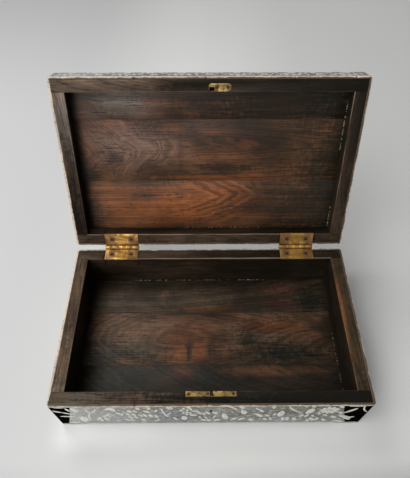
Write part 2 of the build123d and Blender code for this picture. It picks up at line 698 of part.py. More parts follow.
def bolt_mortise():
    """Return the hole in the lid's front rail that takes the thrown blade."""
    return strike_hole(LID_RIM, LID_RIM + MORTISE_DEPTH)


# ---- the whole box
def base_nodes():
    """Return the pieces of the base."""
    nodes = {**base_walls(), **floor_planks(), **feet(), **base_facings(), **base_edging()}
    for name, middle in hinge_middles().items():
        nodes[f"hinge_{name}_base_leaf"] = leaf(middle, -1)
        nodes[f"hinge_{name}_pin"] = hinge_pin(middle)
    nodes["hinge_base_screws"] = Compound(children=hinge_screws(upper=False))
    nodes["lock_plate"] = lock_plate()
    nodes["lock_cap"] = lock_cap()
    nodes["lock_spring"] = lock_spring()
    nodes["lock_key_pin"] = lock_key_pin()
    nodes["lock_screws"] = Compound(children=lock_screws())
    nodes["lock_bolt"] = lock_bolt()
    return nodes


def lid_nodes():
    """Return the pieces of the lid, as closed."""
    nodes = {**lid_frame(), **lid_planks(), **lid_skin(), **lid_edging()}
    for name, middle in hinge_middles().items():
        nodes[f"hinge_{name}_lid_leaf"] = leaf(middle, 1)
    nodes["hinge_lid_screws"] = Compound(children=hinge_screws(upper=True))
    nodes["strike_plate"] = strike_plate()
    nodes["strike_screws"] = Compound(children=strike_screws())
    return nodes


def main():
    """Open the lid, move everything to the origin and write each piece to its file."""
    os.makedirs("parts", exist_ok=True)
    hinge_axis = Axis((0, AXIS_Y, AXIS_Z), (1, 0, 0))
    nodes = base_nodes()
    for name, piece in lid_nodes().items():
        nodes[name] = piece.rotate(hinge_axis, -LID_OPEN_ANGLE)
    for name, piece in nodes.items():
        placed = Pos(0, -ORIGIN_Y, 0) * piece
        placed.label = name
        export_step(placed, f"parts/{name}.step")
    print(f"{len(nodes)} nodes; hinge axis y {AXIS_Y - ORIGIN_Y:.4f} z {AXIS_Z:.4f}; origin y {ORIGIN_Y:.4f}")


main()
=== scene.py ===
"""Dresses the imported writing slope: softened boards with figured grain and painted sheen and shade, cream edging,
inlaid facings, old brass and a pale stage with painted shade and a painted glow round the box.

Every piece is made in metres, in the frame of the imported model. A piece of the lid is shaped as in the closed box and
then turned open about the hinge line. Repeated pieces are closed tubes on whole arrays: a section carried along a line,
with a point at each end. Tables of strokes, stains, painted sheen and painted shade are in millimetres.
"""

import json
import math

import bmesh
import bpy
import numpy as np
from bpy.props import FloatProperty, FloatVectorProperty, PointerProperty
from mathutils import Matrix, Vector


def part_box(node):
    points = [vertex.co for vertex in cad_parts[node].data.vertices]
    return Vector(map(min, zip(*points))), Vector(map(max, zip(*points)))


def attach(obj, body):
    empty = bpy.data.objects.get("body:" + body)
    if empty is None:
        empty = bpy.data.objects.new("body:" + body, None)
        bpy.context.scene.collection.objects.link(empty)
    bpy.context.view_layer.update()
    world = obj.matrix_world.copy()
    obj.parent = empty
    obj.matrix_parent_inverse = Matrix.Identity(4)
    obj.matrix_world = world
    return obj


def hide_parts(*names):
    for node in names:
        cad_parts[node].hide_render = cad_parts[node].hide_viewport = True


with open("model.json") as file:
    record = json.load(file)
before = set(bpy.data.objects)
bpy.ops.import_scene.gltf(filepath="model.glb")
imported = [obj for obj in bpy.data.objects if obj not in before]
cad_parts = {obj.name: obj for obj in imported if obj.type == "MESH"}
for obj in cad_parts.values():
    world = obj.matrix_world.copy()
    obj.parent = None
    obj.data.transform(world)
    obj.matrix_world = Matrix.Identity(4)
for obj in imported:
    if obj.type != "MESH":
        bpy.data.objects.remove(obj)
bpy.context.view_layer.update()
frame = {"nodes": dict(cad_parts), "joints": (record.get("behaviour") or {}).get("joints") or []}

bl_info = {
    "name": "Writing Slope",
    "version": (1, 0, 0),
    "blender": (4, 5, 0),
    "location": "3D View > Sidebar > Slope",
    "description": "Dresses a packed writing slope and sets its stage",
    "category": "Object",
}

MM = 0.001

# ---- places read from the frame
HINGE = next(joint for joint in frame["joints"] if joint["name"] == "lid_hinge")
PIVOT = np.array(HINGE["pos_m"])
OPEN_ANGLE = math.radians(HINGE["range_deg"][1])


def srgb(red, green, blue):
    """Return a linear colour from display values of 0 to 255."""
    share = np.array([red, green, blue]) / 255
    return tuple(float(c) for c in np.where(share <= 0.04045, share / 12.92, ((share + 0.055) / 1.055) ** 2.4))


def turned(points, angle):
    """Return points turned about the hinge line: y and z rotate together round it by the angle."""
    y = points[..., 1] - PIVOT[1]
    z = points[..., 2] - PIVOT[2]
    cosine, sine = math.cos(angle), math.sin(angle)
    return np.stack([points[..., 0], PIVOT[1] + y * cosine - z * sine, PIVOT[2] + y * sine + z * cosine], -1)


def opened(points):
    """Return points of the closed lid where they are when it is open."""
    return turned(points, -OPEN_ANGLE)


def closed_box(node):
    """Return the lowest and highest corners of a lid node in the closed box."""
    points = np.array([v.co for v in frame["nodes"][node].data.vertices], float)
    points = turned(points, OPEN_ANGLE)
    return points.min(0), points.max(0)


def span_x(name):
    """Return the lowest and highest x of a node."""
    low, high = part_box(name)
    return low.x, high.x


FRONT_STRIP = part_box("base_front_edging")
BACK_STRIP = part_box("base_back_edging")
HALF_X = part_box("base_right_edging")[1].x
FRONT_Y = FRONT_STRIP[0].y
BACK_Y = BACK_STRIP[1].y
MIDDLE_Y = (FRONT_Y + BACK_Y) / 2
HALF_Y = (BACK_Y - FRONT_Y) / 2
RIM_Z = FRONT_STRIP[1].z
STRIP = FRONT_STRIP[1].z - FRONT_STRIP[0].z
FLOOR_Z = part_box("base_floor_middle")[1].z
INNER_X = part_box("base_right_board")[0].x
INNER_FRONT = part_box("base_front_board")[1].y
INNER_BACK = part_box("base_back_board")[0].y
LID_RIM_Z = closed_box("lid_front_edging")[0][2]
LID_INNER_Z = closed_box("lid_top_middle_board")[0][2]
LID_TOP_Z = closed_box("lid_top_veneer")[1][2]
HINGE_SPANS = [span_x(f"hinge_{side}_base_leaf") for side in ("left", "right")]

# ---- sizes of the finish
CORNER = 3.5 * MM  # radius of the upright corners
LID_ROUND = 8.5 * MM  # radius of the lid's rounded top edge
PLANK_ARRIS = 0.35 * MM
VENEER_ARRIS = 0.12 * MM
FOOT_ARRIS = 0.2 * MM
PLATE_ARRIS = 0.15 * MM
STRIP_ARRIS = 0.45 * MM
STRIP_LENGTH = 0.085  # about, of one piece of edging
STRIP_GAP = 0.08 * MM  # left at each end of a piece of edging
WALL_SHADE_REACH = 15 * MM  # how far the painted shade lies on a plank beside a wall
PLANK_DEPTH = {"base": 50, "lid": 30}  # reach of a plank's stains, painted sheen and painted shade into it, in millimetres
LEAF_SCREW_X = 13 * MM  # from the middle of a hinge leaf
LEAF_SCREW_Y = 8.4 * MM  # from the back of the box
SLOT_X = 0.4 * MM  # middle of the lock's slot
GLUE_IN = 0.2 * MM  # crumbs stand off the wall
GLUE_UP = 0.1 * MM  # and off the plank
TABLE_HALF = 6.0
TABLE_DROP = 0.2 * MM
MERGE = 2e-6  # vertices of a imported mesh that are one
FLAT_ANGLE = math.radians(0.5)  # faces that are one
SHARP_ANGLE = math.radians(35)  # edges that are rounded over
STRIP_RINGS, STRIP_AROUND = 40, 20
CRUMB_RINGS, CRUMB_AROUND = 5, 7

# ---- camera: place from the hinge line's middle, and angles in radians
CAMERA_PLACE = (-0.00825, -0.37368, 0.48431)
CAMERA_PITCH, CAMERA_YAW, CAMERA_ROLL = 0.9571, 0.0073, 0.0014
CAMERA_LENS, CAMERA_SENSOR = 33.43, 36.0
CAMERA_SHIFT = 27.15 / 478

# ---- usual tones
# black laid over the table as painted shade
TABLE_SHADE_BLACK = (0, 0, 0)
# near black laid on the wood as painted shadow beside the metal and painted shade on the rims
PAINTED_SHADE = (9, 8, 5)
JET = srgb(5, 5, 4)
PALE_GLUE = srgb(196, 192, 180)


# ---- meshes
def add_piece(name, mesh, body):
    """Shade a mesh smooth and put it into the scene, riding on a body."""
    mesh.polygons.foreach_set("use_smooth", np.ones(len(mesh.polygons), bool))
    mesh.update()
    piece = bpy.data.objects.new(name, mesh)
    bpy.context.scene.collection.objects.link(piece)
    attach(piece, body)
    return piece


def make_object(name, vertices, faces, body, attributes=()):
    """Make a piece from vertices and faces, with one value per vertex for each attribute."""
    mesh = bpy.data.meshes.new(name)
    mesh.from_pydata(vertices.reshape(-1, 3).tolist(), [], faces)
    for label, values in dict(attributes).items():
        mesh.attributes.new(label, "FLOAT", "POINT").data.foreach_set("value", values.astype(np.float32).ravel())
    return add_piece(name, mesh, body)


def tube_faces(count, rings, around):
    """Return the faces of tubes stored one after another: quads between rings and a fan of triangles at each end."""
    ring = np.arange(rings - 1)[:, None] * around
    here = np.arange(around)
    following = (here + 1) % around
    corners = [ring + here, ring + following, ring + around + following, ring + around + here]
    quads = np.stack(corners, -1).reshape(-1, 4)
    last = (rings - 1) * around
    first_pole = rings * around
    near = np.stack([following, here, np.full(around, first_pole)], -1)
    far = np.stack([last + here, last + following, np.full(around, first_pole + 1)], -1)
    size = first_pole + 2
    start = np.arange(count)[:, None, None] * size
    quads = (quads + start).reshape(-1, 4)
    fans = (np.concatenate([near, far]) + start).reshape(-1, 3)
    return quads.tolist() + fans.tolist()


def make_tubes(name, grid, body, attributes=()):
    """Make closed tubes from a grid of tube, ring, place round it and coordinate; each end closes on its middle."""
    count, rings, around, _ = grid.shape
    poles = np.stack([grid[:, 0].mean(1), grid[:, -1].mean(1)], 1)
    vertices = np.concatenate([grid.reshape(count, rings * around, 3), poles], 1)
    spread = {}
    for label, values in dict(attributes).items():
        values = np.broadcast_to(values, grid.shape[:3])
        ends = np.stack([values[:, 0].mean(1), values[:, -1].mean(1)], 1)
        spread[label] = np.concatenate([values.reshape(count, -1), ends], 1)
    return make_object(name, vertices, tube_faces(count, rings, around), body, spread)


def rounded_outline(half_width, half_height, radius, distance):
    """Return points and outward normals at distances round a rounded rectangle, from the left end of its foot.

    The middle of the corner arc runs along an inner rectangle while the heading stays, and waits at that rectangle's
    corner while the heading turns a quarter; the point lies one radius out from it.
    """
    inner_x, inner_y = half_width - radius, half_height - radius
    arc = math.pi * radius / 2
    knots = np.cumsum([0, 2 * inner_x, arc, 2 * inner_y, arc, 2 * inner_x, arc, 2 * inner_y, arc])
    distance = np.mod(distance, knots[-1])
    heading = np.interp(distance, knots, np.repeat(np.arange(5), 2)[:9] * math.pi / 2)
    middle_x = np.interp(distance, knots, np.array([-1, 1, 1, 1, 1, -1, -1, -1, -1]) * inner_x)
    middle_y = np.interp(distance, knots, np.array([-1, -1, -1, 1, 1, 1, 1, -1, -1]) * inner_y)
    normals = np.stack([np.sin(heading), -np.cos(heading)], -1)
    return np.stack([middle_x, middle_y], -1) + radius * normals, normals


def outline_length(half_width, half_height, radius):
    """Return the distance once round a rounded rectangle."""
    return 4 * (half_width + half_height - 2 * radius) + 2 * math.pi * radius


def ripple(place, seed, waves=6, shortest=0.6):
    """Return a smooth irregular value of about -1 to 1: a sum of sines of rising pitch and falling height."""
    random = np.random.default_rng(seed)
    pitch = random.uniform(0.4, 1.0, waves) / shortest * 2.0 ** -np.arange(waves)
    height = np.sqrt(2.0 ** np.arange(waves))
    phase = random.uniform(0, 2 * math.pi, waves)
    total = (np.sin(place[..., None] * pitch * 2 * math.pi + phase) * height).sum(-1)
    return total / height.sum() * 1.8


def softened_copy(node, radius, body, reshape=None):
    """Replace a node with a merged copy of its mesh whose sharp edges are rounded over."""
    work = bmesh.new()
    work.from_mesh(frame["nodes"][node].data)
    bmesh.ops.remove_doubles(work, verts=work.verts, dist=MERGE)
    bmesh.ops.dissolve_limit(work, angle_limit=FLAT_ANGLE, verts=work.verts, edges=work.edges)
    name = f"{node}_soft"
    mesh = bpy.data.meshes.new(name)
    work.to_mesh(mesh)
    work.free()
    if reshape:
        points = np.empty(len(mesh.vertices) * 3)
        mesh.vertices.foreach_get("co", points)
        mesh.vertices.foreach_set("co", reshape(points.reshape(-1, 3)).ravel())
    mesh.materials.clear()
    piece = add_piece(name, mesh, body)
    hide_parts(node)
    bevel = piece.modifiers.new("soft edges", "BEVEL")
    bevel.width = radius
    bevel.segments = 2
    bevel.limit_method = "ANGLE"
    bevel.angle_limit = SHARP_ANGLE
    bevel.harden_normals = True
    return piece


# ---- shader nodes
class Value:
    """An output of a shader node; arithmetic with it adds nodes to its tree."""

    def __init__(self, socket):
        self.socket = socket
        self.tree = socket.id_data

    def __add__(self, other):
        return maths("ADD", self, other)

    def __sub__(self, other):
        return maths("SUBTRACT", self, other)

    def __rsub__(self, other):
        return maths("SUBTRACT", other, self)

    def __mul__(self, other):
        return maths("MULTIPLY", self, other)

    def __truediv__(self, other):
        return maths("DIVIDE", self, other)

    def __rtruediv__(self, other):
        return maths("DIVIDE", other, self)

    def __abs__(self):
        return maths("ABSOLUTE", self)

    def axis(self, index):
        """Return one coordinate of a vector."""
        return result("ShaderNodeSeparateXYZ", {0: self}, index)

    def vector(self, operation, other=(0, 0, 0)):
        """Return the result of a Vector Math node."""
        output = "Value" if operation == "LENGTH" else "Vector"
        return result("ShaderNodeVectorMath", {0: self, 1: other}, output, operation=operation)

    def stretched(self, *factors):
        """Return a vector with each coordinate multiplied."""
        return self.vector("MULTIPLY", factors)

    def between(self, low, high, to_low=0.0, to_high=1.0):
        """Return a smooth step from one level to another as the value goes from low to high."""
        inputs = {"Value": self, 1: low, 2: high, 3: to_low, 4: to_high}
        return result("ShaderNodeMapRange", inputs, interpolation_type="SMOOTHSTEP")

    def swing(self, to_low, to_high):
        """Return a smooth step over the usual range of a noise."""
        return self.between(0.3, 0.7, to_low, to_high)

    def choose(self, first, second):
        """Return the first number where the value is 0 and the second where it is 1."""
        return result("ShaderNodeMix", {0: self, 2: first, 3: second})

    def tinted(self, tone, share):
        """Return this colour with a share of another over it."""
        return mixed(share, self, tone)

    def shaded(self, level, share=1.0):
        """Return this colour multiplied by a level, by a share of the full effect."""
        return mixed(share, self, level, "MULTIPLY")


def tree_of(inputs):
    """Return the tree that the values among some inputs belong to."""
    return next(value.tree for value in inputs.values() if isinstance(value, Value))


def feed(value, socket):
    """Link a value to a socket, or set the socket to a plain number, vector or colour."""
    if isinstance(value, Value):
        value.tree.links.new(value.socket, socket)
    elif socket.type == "RGBA" and len(value) == 3:
        socket.default_value = (*value, 1.0)
    else:
        socket.default_value = value


def node(tree, kind, inputs=(), **settings):
    """Add a node; inputs maps a socket's name or number to what feeds it."""
    made = tree.nodes.new(kind)
    for key, value in settings.items():
        setattr(made, key, value)
    for key, value in dict(inputs).items():
        feed(value, made.inputs[key])
    return made


def result(kind, inputs, output=0, **settings):
    """Add a node to the tree of its inputs and return one of its outputs."""
    return Value(node(tree_of(inputs), kind, inputs, **settings).outputs[output])


def maths(operation, first, second=0.0, clamp=False):
    """Return the result of a Math node."""
    return result("ShaderNodeMath", {0: first, 1: second}, operation=operation, use_clamp=clamp)


def mixed(share, first, second, blend="MIX"):
    """Return two colours mixed by a share."""
    return result("ShaderNodeMix", {0: share, 6: first, 7: second}, 2, data_type="RGBA", blend_type=blend)


def combined(x, y=0.0, z=0.0):
    """Return a vector of three values."""
    return result("ShaderNodeCombineXYZ", {0: x, 1: y, 2: z})


def noise(vector, scale, detail=2.0, rough=0.5, output=0):
    """Return a noise, or its colour as output 1."""
    inputs = {"Vector": vector, "Scale": scale, "Detail": detail, "Roughness": rough}
    return result("ShaderNodeTexNoise", inputs, output)


def attributes_of(place, *labels):
    """Return attributes of the mesh in the tree of a value."""
    return [Value(node(place.tree, "ShaderNodeAttribute", attribute_name=label).outputs["Fac"]) for label in labels]


def build_group(name, inputs, work):
    """Build a shader group from its inputs and the function that turns them into its outputs."""
    tree = bpy.data.node_groups.new(name, "ShaderNodeTree")
    for label, kind, default in inputs:
        socket = tree.interface.new_socket(label, in_out="INPUT", socket_type=f"NodeSocket{kind}")
        if default is not None:
            socket.default_value = default
    given = tree.nodes.new("NodeGroupInput").outputs[: len(inputs)]
    outputs = work(*[Value(socket) for socket in given])
    for label in outputs:
        tree.interface.new_socket(label, in_out="OUTPUT", socket_type="NodeSocketFloat")
    node(tree, "NodeGroupOutput", outputs)


def use_group(name, inputs):
    """Place a group in the tree of its inputs and return its outputs by name."""
    made = node(tree_of(inputs), "ShaderNodeGroup", node_tree=bpy.data.node_groups[name])
    for key, value in inputs.items():
        feed(value, made.inputs[key])
    return {socket.name: Value(socket) for socket in made.outputs}


def board_grain(vector, stretch, ring_width, wander, point, bands):
    """Board Grain: growth rings as long ellipsoids about the heart of the tree, with fibre, pores, curl and clouds.

    Ring number is the distance from the heart, shortened along the grain, stirred by noise and raised by a share of
    the sideways distance, so that the rings meet in a point. A ring darkens from its start to its end, or with Bands
    towards its middle, and every ring has its own depth.
    """
    heart = vector.vector("MULTIPLY", combined(1.0 / stretch, 1.0, 1.0))
    middle = (0.5, 0.5, 0.5)
    fine = noise(heart, 75.0, 2.0, output=1).vector("SUBTRACT", middle).stretched(0.25, 0.25, 0.25)
    stirred = noise(heart, 16.0, 3.0, output=1).vector("SUBTRACT", middle).vector("ADD", fine)
    drift = result("ShaderNodeVectorMath", {0: stirred, "Scale": wander}, operation="SCALE")
    moved = heart.vector("ADD", drift)
    radius = moved.vector("LENGTH") + abs(moved.axis(1)) * point
    turns = radius / ring_width
    saw = maths("FRACT", turns)
    line = maths("POWER", saw, 1.8) * saw.between(0.84, 1.0, 1.0, 0.0)
    band = abs(saw - 0.5).between(0.12, 0.42, 1.0, 0.0)
    own = result("ShaderNodeTexWhiteNoise", {"W": maths("FLOOR", turns)}, noise_dimensions="1D")
    depth = maths("MAXIMUM", own * 0.75 + 0.25, bands)
    return {
        "Rings": maths("MULTIPLY", bands.choose(line, band), depth, clamp=True),
        "Fibre": noise(vector.stretched(26, 620, 620), 1.0, 4.0, 0.62),
        "Pores": noise(vector.stretched(75, 620, 620), 1.0, 1.0, 0.4).between(0.6, 0.72),
        "Curl": noise(vector.vector("ADD", drift).stretched(260, 130, 130), 1.0, 3.0, 0.6),
        "Clouds": noise(vector.stretched(9, 20, 20), 1.0, 3.0, 0.55),
        "Years": noise(combined(radius * 120.0), 1.0),
    }


def frame_distance(vector, centre, half):
    """Frame Distance: how far a point lies from an upright rectangle's outline, in plan and together with its height.

    In plan it is the usual distance to a box: what sticks out past each half size, and inside, the nearer side.
    """
    local = vector.vector("SUBTRACT", centre)
    height = local.axis(2)
    past = local.vector("ABSOLUTE").vector("SUBTRACT", half)
    past_x, past_y = past.axis(0), past.axis(1)
    outside = combined(maths("MAXIMUM", past_x), maths("MAXIMUM", past_y)).vector("LENGTH")
    plan = outside + maths("MINIMUM", maths("MAXIMUM", past_x, past_y))
    return {"Plan": plan, "Edge": combined(plan, height).vector("LENGTH"), "Height": height}


def old_surface(vector):
    """Old Surface: soft grime, fine crossing scratches and a broad rubbing, all from noise on the place."""
    lines = []
    for turn, seed in ((0.5, 3.0), (-0.8, 11.0)):
        inputs = {"Vector": vector, "Location": (seed, seed, 0), "Rotation": (0.2, 0.1, turn)}
        place = result("ShaderNodeMapping", inputs)
        lines.append(noise(place.stretched(9, 520, 520), 1.0, 1.0, 0.3).between(0.7, 0.76))
    return {
        "Grime": noise(vector, 24.0, 5.0, 0.6).between(0.42, 0.7),
        "Scratches": maths("MAXIMUM", *lines),
        "Rubbed": noise(vector, 9.0, 3.0, 0.6).between(0.4, 0.66),
    }


PLACE_INPUT = ("Vector", "Vector", None)
GRAIN_INPUTS = [
    PLACE_INPUT,
    ("Stretch", "Float", 5.0),
    ("Ring Width", "Float", 0.003),
    ("Wander", "Float", 0.01),
    ("Point", "Float", 0.0),
    ("Bands", "Float", 0.0),
]
OUTLINE_INPUTS = [PLACE_INPUT, ("Centre", "Vector", (0.0, 0.0, 0.0)), ("Half", "Vector", (0.1, 0.1, 0.0))]
GROUPS = (
    ("Board Grain", GRAIN_INPUTS, board_grain),
    ("Frame Distance", OUTLINE_INPUTS, frame_distance),
    ("Old Surface", [PLACE_INPUT], old_surface),
)


def new_material(name):
    """Start a material; return it, its Principled shader and the Object coordinates."""
    material = bpy.data.materials.new(name)
    material.use_nodes = True
    tree = material.node_tree
    tree.nodes.clear()
    shader = node(tree, "ShaderNodeBsdfPrincipled")
    node(tree, "ShaderNodeOutputMaterial", {0: Value(shader.outputs[0])})
    return material, shader, Value(node(tree, "ShaderNodeTexCoord").outputs["Object"])


def finish(shader, inputs, relief=None):
    """Feed the shader, and its normal from a height with its distance and strength."""
    for label, value in inputs.items():
        feed(value, shader.inputs[label])
    if relief:
        height, distance, strength = relief
        normal = result("ShaderNodeBump", {"Height": height, "Distance": distance, "Strength": strength})
        feed(normal, shader.inputs["Normal"])


def give(piece, material):
    """Make a material the only one of a piece or node."""
    piece.data.materials.clear()
    piece.data.materials.append(material)


# ---- settings
def colour(name, description, default):
    """Return a colour property."""
    return FloatVectorProperty(
        name=name, description=description, subtype="COLOR", size=3, min=0, max=1, default=default
    )


def length(name, description, default, highest):
    """Return a length property in metres."""
    return FloatProperty(
        name=name, description=description, default=default, min=0, max=highest, subtype="DISTANCE", unit="LENGTH"
    )


def share(name, description, default, highest=1.0):
    """Return a plain factor property."""
    return FloatProperty(name=name, description=description, default=default, min=0, max=highest, subtype="FACTOR")


class WoodSettings(bpy.types.PropertyGroup):
    """Colours and edge rounding of the bare wood."""

    wall_light: colour("Wall wood", "Early wood of the walls and rails", srgb(84, 66, 52))
    wall_dark: colour("Wall grain", "Late wood of the walls and rails", srgb(40, 29, 21))
    floor_light: colour("Floor wood", "Early wood of the floor planks", srgb(110, 84, 64))
    floor_dark: colour("Floor grain", "Late wood of the floor planks", srgb(60, 46, 34))
    lid_light: colour("Lid wood", "Early wood of the lid's planks", srgb(114, 75, 48))
    lid_dark: colour("Lid grain", "Late wood of the lid's planks", srgb(52, 35, 22))
    # the grime colour is also the colour of the painted shade on the wood
    grime: colour("Grime", "Old wax and dirt", srgb(21, 19, 13))
    worn: colour("Rubbed arris", "Wood where an edge is rubbed", srgb(132, 114, 94))
    arris: length("Arris radius", "Rounding of the boards' edges", 0.6 * MM, 0.002)


class InlaySettings(bpy.types.PropertyGroup):
    """Colours of the facings, their inlay and the edging."""

    ground: colour("Ground", "Silver-grey ground of the facings", srgb(94, 98, 97))
    black: colour("Black", "Black veneer of the corner panels", srgb(7, 7, 5))
    pale: colour("Inlay", "Pale inlaid leaves and scrolls", srgb(212, 214, 206))
    warm: colour("Warm inlay", "Leaves that have yellowed", srgb(208, 199, 178))
    cream: colour("Edging", "Cream strips at the rims", srgb(218, 200, 178))
    stained: colour("Stained edging", "Edging where dirt has sunk in", srgb(70, 53, 36))
    relief: length("Relief", "Height of the inlay above its ground", 0.08 * MM, 0.001)


class MetalSettings(bpy.types.PropertyGroup):
    """Colours of the brass and steel."""

    brass: colour("Brass", "Rubbed brass", srgb(210, 164, 86))
    tarnish: colour("Tarnish", "Brown film on the brass", srgb(92, 62, 32))
    steel: colour("Screws", "Browned screw heads", srgb(84, 58, 36))
    bright: colour("Bolt steel", "Bolt, spring and key pin", srgb(120, 117, 112))


class StageSettings(bpy.types.PropertyGroup):
    """Light and backdrop."""

    floor: colour("Table", "Colour of the pale table", srgb(231, 231, 229))
    # left and right are table colours that paint shade: darker under the strongest light and beside the box's shadow
    left: colour("Table left", "Colour of the table where the light is strongest", srgb(207, 207, 207))
    right: colour("Table right", "Colour of the table beside the shadow", srgb(220, 220, 219))
    key: share("Key light", "Power of the large light above the front left in watts", 14.0, 200.0)
    sheen: share("Sheen light", "Power of the light behind the left, seen in the wax, in watts", 8.0, 200.0)
    front: share("Front light", "Power of the low light at the front left in watts", 9.0, 200.0)
    fill: share("Fill", "Strength of the light from all round", 0.30, 3.0)


# ---- finishes
def board_place(place, heart, turn, size=(1, 1, 1)):
    """Return board coordinates: x along the grain, y across the face, z into the thickness, from a given point."""
    inputs = {"Vector": place, "Location": heart, "Rotation": turn, "Scale": size}
    return result("ShaderNodeMapping", inputs, vector_type="TEXTURE")


def figure(heart, stretch, ring, wander, point=0.0, bands=0.0):
    """Return one growth figure: its heart, how long its rings are drawn, ring width and wander in millimetres."""
    growth = {"Stretch": stretch, "Ring Width": ring * MM, "Wander": wander * MM, "Point": point, "Bands": bands}
    return heart, growth


def straight(heart):
    """Return the growth figure of a wall or rail."""
    return figure(heart, 7, 2.2, 10)


def patch(centre, reach, tone, amount):
    """Return a ragged patch of another tone: its middle, its reach along, across and into the board, and strength."""
    return centre, tuple(side * MM for side in reach), srgb(*tone), amount


def rows(table):
    """Return the numbers of a table whose rows end at a bar or at the end of a line."""
    return [[float(number) for number in row.split()] for row in table.replace("\n", "|").split("|") if row.strip()]


def stains(place, depth, table):
    """Return a plank's patches from a table: stains, painted sheen and painted shade.

    A row is the place to the right and from the front, the reach along and across, red, green and blue of 0 to 255,
    and the strength.
    """
    return [
        patch(place(x, from_front), (along, across, depth), tone, amount)
        for x, from_front, along, across, *tone, amount in rows(table)
    ]


def wood_material(
    name, tones, turn, figures, contrast, curl, streak, gloss,
    lid=False, patches=(), mask=None, inner=0.0, right_shade=0.0, rubbed=0.6, soil=0.0, calm=1.0,
):
    """Return wood with one or two growth figures, ragged patches of stain, painted sheen and painted shade, painted
    shade on the inner face and a rubbed rim arris.

    tones are the early wood, the late wood and the grime, which is also the colour of the painted shade; mask is the
    patch inside which the second figure shows; inner is the painted shade on the faces inside the box, and right_shade
    the painted shade over the board towards its right end; streak is the contrast of the fibres, calm the share of it
    left at the right end, and soil the painted shade on a plank beside the walls, strongest at the left.
    """
    worn = bpy.context.scene.slope_wood.worn
    light, dark, grime = tones
    material, shader, place = new_material(name)
    shown = [
        use_group("Board Grain", {"Vector": board_place(place, heart, turn), **growth}) for heart, growth in figures
    ]
    grain = shown[0]

    def inside(centre, reach, soft=0.75):
        """Return 1 in the middle of a ragged patch and 0 outside it."""
        far = board_place(place, centre, turn, reach).vector("LENGTH")
        far += grain["Clouds"].swing(-0.3, 0.3)
        far += grain["Curl"].swing(-0.2, 0.2)
        far += grain["Fibre"].swing(-0.3, 0.3)
        return far.between(1.0 - soft, 1.1, 1.0, 0.0)

    rings, years = grain["Rings"], grain["Years"]
    if mask:
        here = inside(*mask, soft=0.4)
        rings, years = here.choose(rings, shown[1]["Rings"]), here.choose(years, shown[1]["Years"])
    tone = mixed(grain["Clouds"].between(0.36, 0.7), light, dark)
    for centre, reach, other, amount in patches:
        tone = tone.tinted(other, inside(centre, reach) * amount)
    tone = tone.shaded(years.between(0.36, 0.62, 1.25, 0.5), contrast)
    tone = tone.shaded(rings.between(0.0, 0.8, 1.2, 0.32), contrast)
    if calm < 1:
        streak = place.axis(0).between(0.0, 0.13, streak, streak * calm)
    tone = tone.shaded(grain["Fibre"].between(0.32, 0.68, 0.5, 1.45), streak)
    tone = tone.shaded(grain["Curl"].swing(0.3, 1.7), curl)
    tone = tone.tinted(grime, grain["Pores"] * 0.6)
    age = use_group("Old Surface", {"Vector": place})
    tone = tone.tinted(grime, age["Grime"] * 0.4)
    # painted shade: the grime colour laid over the board more and more towards its right end
    if right_shade:
        tone = tone.tinted(grime, place.axis(0).between(-0.16, 0.16, 0.0, right_shade))
    if lid:
        spot = board_place(place, tuple(PIVOT), (-OPEN_ANGLE, 0, 0))
        centre = (0.0, MIDDLE_Y - PIVOT[1], LID_RIM_Z - PIVOT[2])
    else:
        spot, centre = place, (0.0, MIDDLE_Y, RIM_Z)
    half = (INNER_X, (INNER_BACK - INNER_FRONT) / 2, 0.0)
    rim = use_group("Frame Distance", {"Vector": spot, "Centre": centre, "Half": half})
    # painted shade: the faces inside the box darkened in the grime colour, near black where the light does not reach
    if inner:
        face = rim["Plan"].between(0.2 * MM, 1.2 * MM, inner, 0.0)
        tone = tone.tinted(grime, face * abs(rim["Height"]).between(0.3 * MM, 2.5 * MM))
    broken = rim["Edge"] + grain["Fibre"].swing(-0.5 * MM, 0.7 * MM)
    broken += grain["Clouds"].between(0.35, 0.65, 0.6 * MM, -0.4 * MM)
    tone = tone.tinted(worn, broken.between(0.3 * MM, 1.3 * MM, rubbed, 0.0))
    # painted shade: the plank darkened in the grime colour beside the walls, most beside the left wall
    if soil:
        near = (rim["Plan"] + grain["Clouds"].swing(-3 * MM, 3 * MM)).between(-WALL_SHADE_REACH, 0.0)
        left = place.axis(0).between(-INNER_X, -INNER_X + 2 * WALL_SHADE_REACH, soil, soil * 0.45)
        tone = tone.tinted(grime, near * left)
    tone = tone.tinted(worn, age["Scratches"] * 0.04)
    rough = grain["Fibre"].swing(0.36, 0.5) + age["Rubbed"] * 0.12
    relief = (grain["Fibre"] - grain["Pores"], 0.12 * MM, 0.6)
    finish(shader, {"Base Color": tone, "Roughness": rough, "Specular IOR Level": gloss}, relief)
    return material


def dress_board(name, arris, body, slot, tones, turn, figures, **options):
    """Soften a board and give it its own grain."""
    piece = softened_copy(name, arris, body)
    give(piece, wood_material(f"{name}_wood", tones, turn, figures, lid=body == "lid", **options))


def dress_frame(name, body, boards, spots, **usual):
    """Dress four boards, each from its tones, the heart of its rings, its turn, its painted shade inside the box, its
    painted shade towards its right end, and how far its rim is rubbed.
    """
    arris = bpy.context.scene.slope_wood.arris
    for side, (tones, heart, turn, inner, right_shade, rubbed) in boards.items():
        options = dict(patches=spots.get(side, ()), inner=inner, right_shade=right_shade, rubbed=rubbed, **usual)
        dress_board(name.format(side), arris, body, "dark_wood", tones, turn, [straight(heart)], **options)


def dress_planks(name, body, slot, turn, place, planks, **usual):
    """Dress three planks, each from its tones, painted shade towards the right end, figures, table of stains, painted
    sheen and painted shade, and place of the second figure.
    """
    for where, (tones, right_shade, figures, table, mask) in planks.items():
        options = dict(patches=stains(place, PLANK_DEPTH[body], table), mask=mask, right_shade=right_shade, **usual)
        dress_board(name.format(where), PLANK_ARRIS, body, slot, tones, turn, figures, **options)


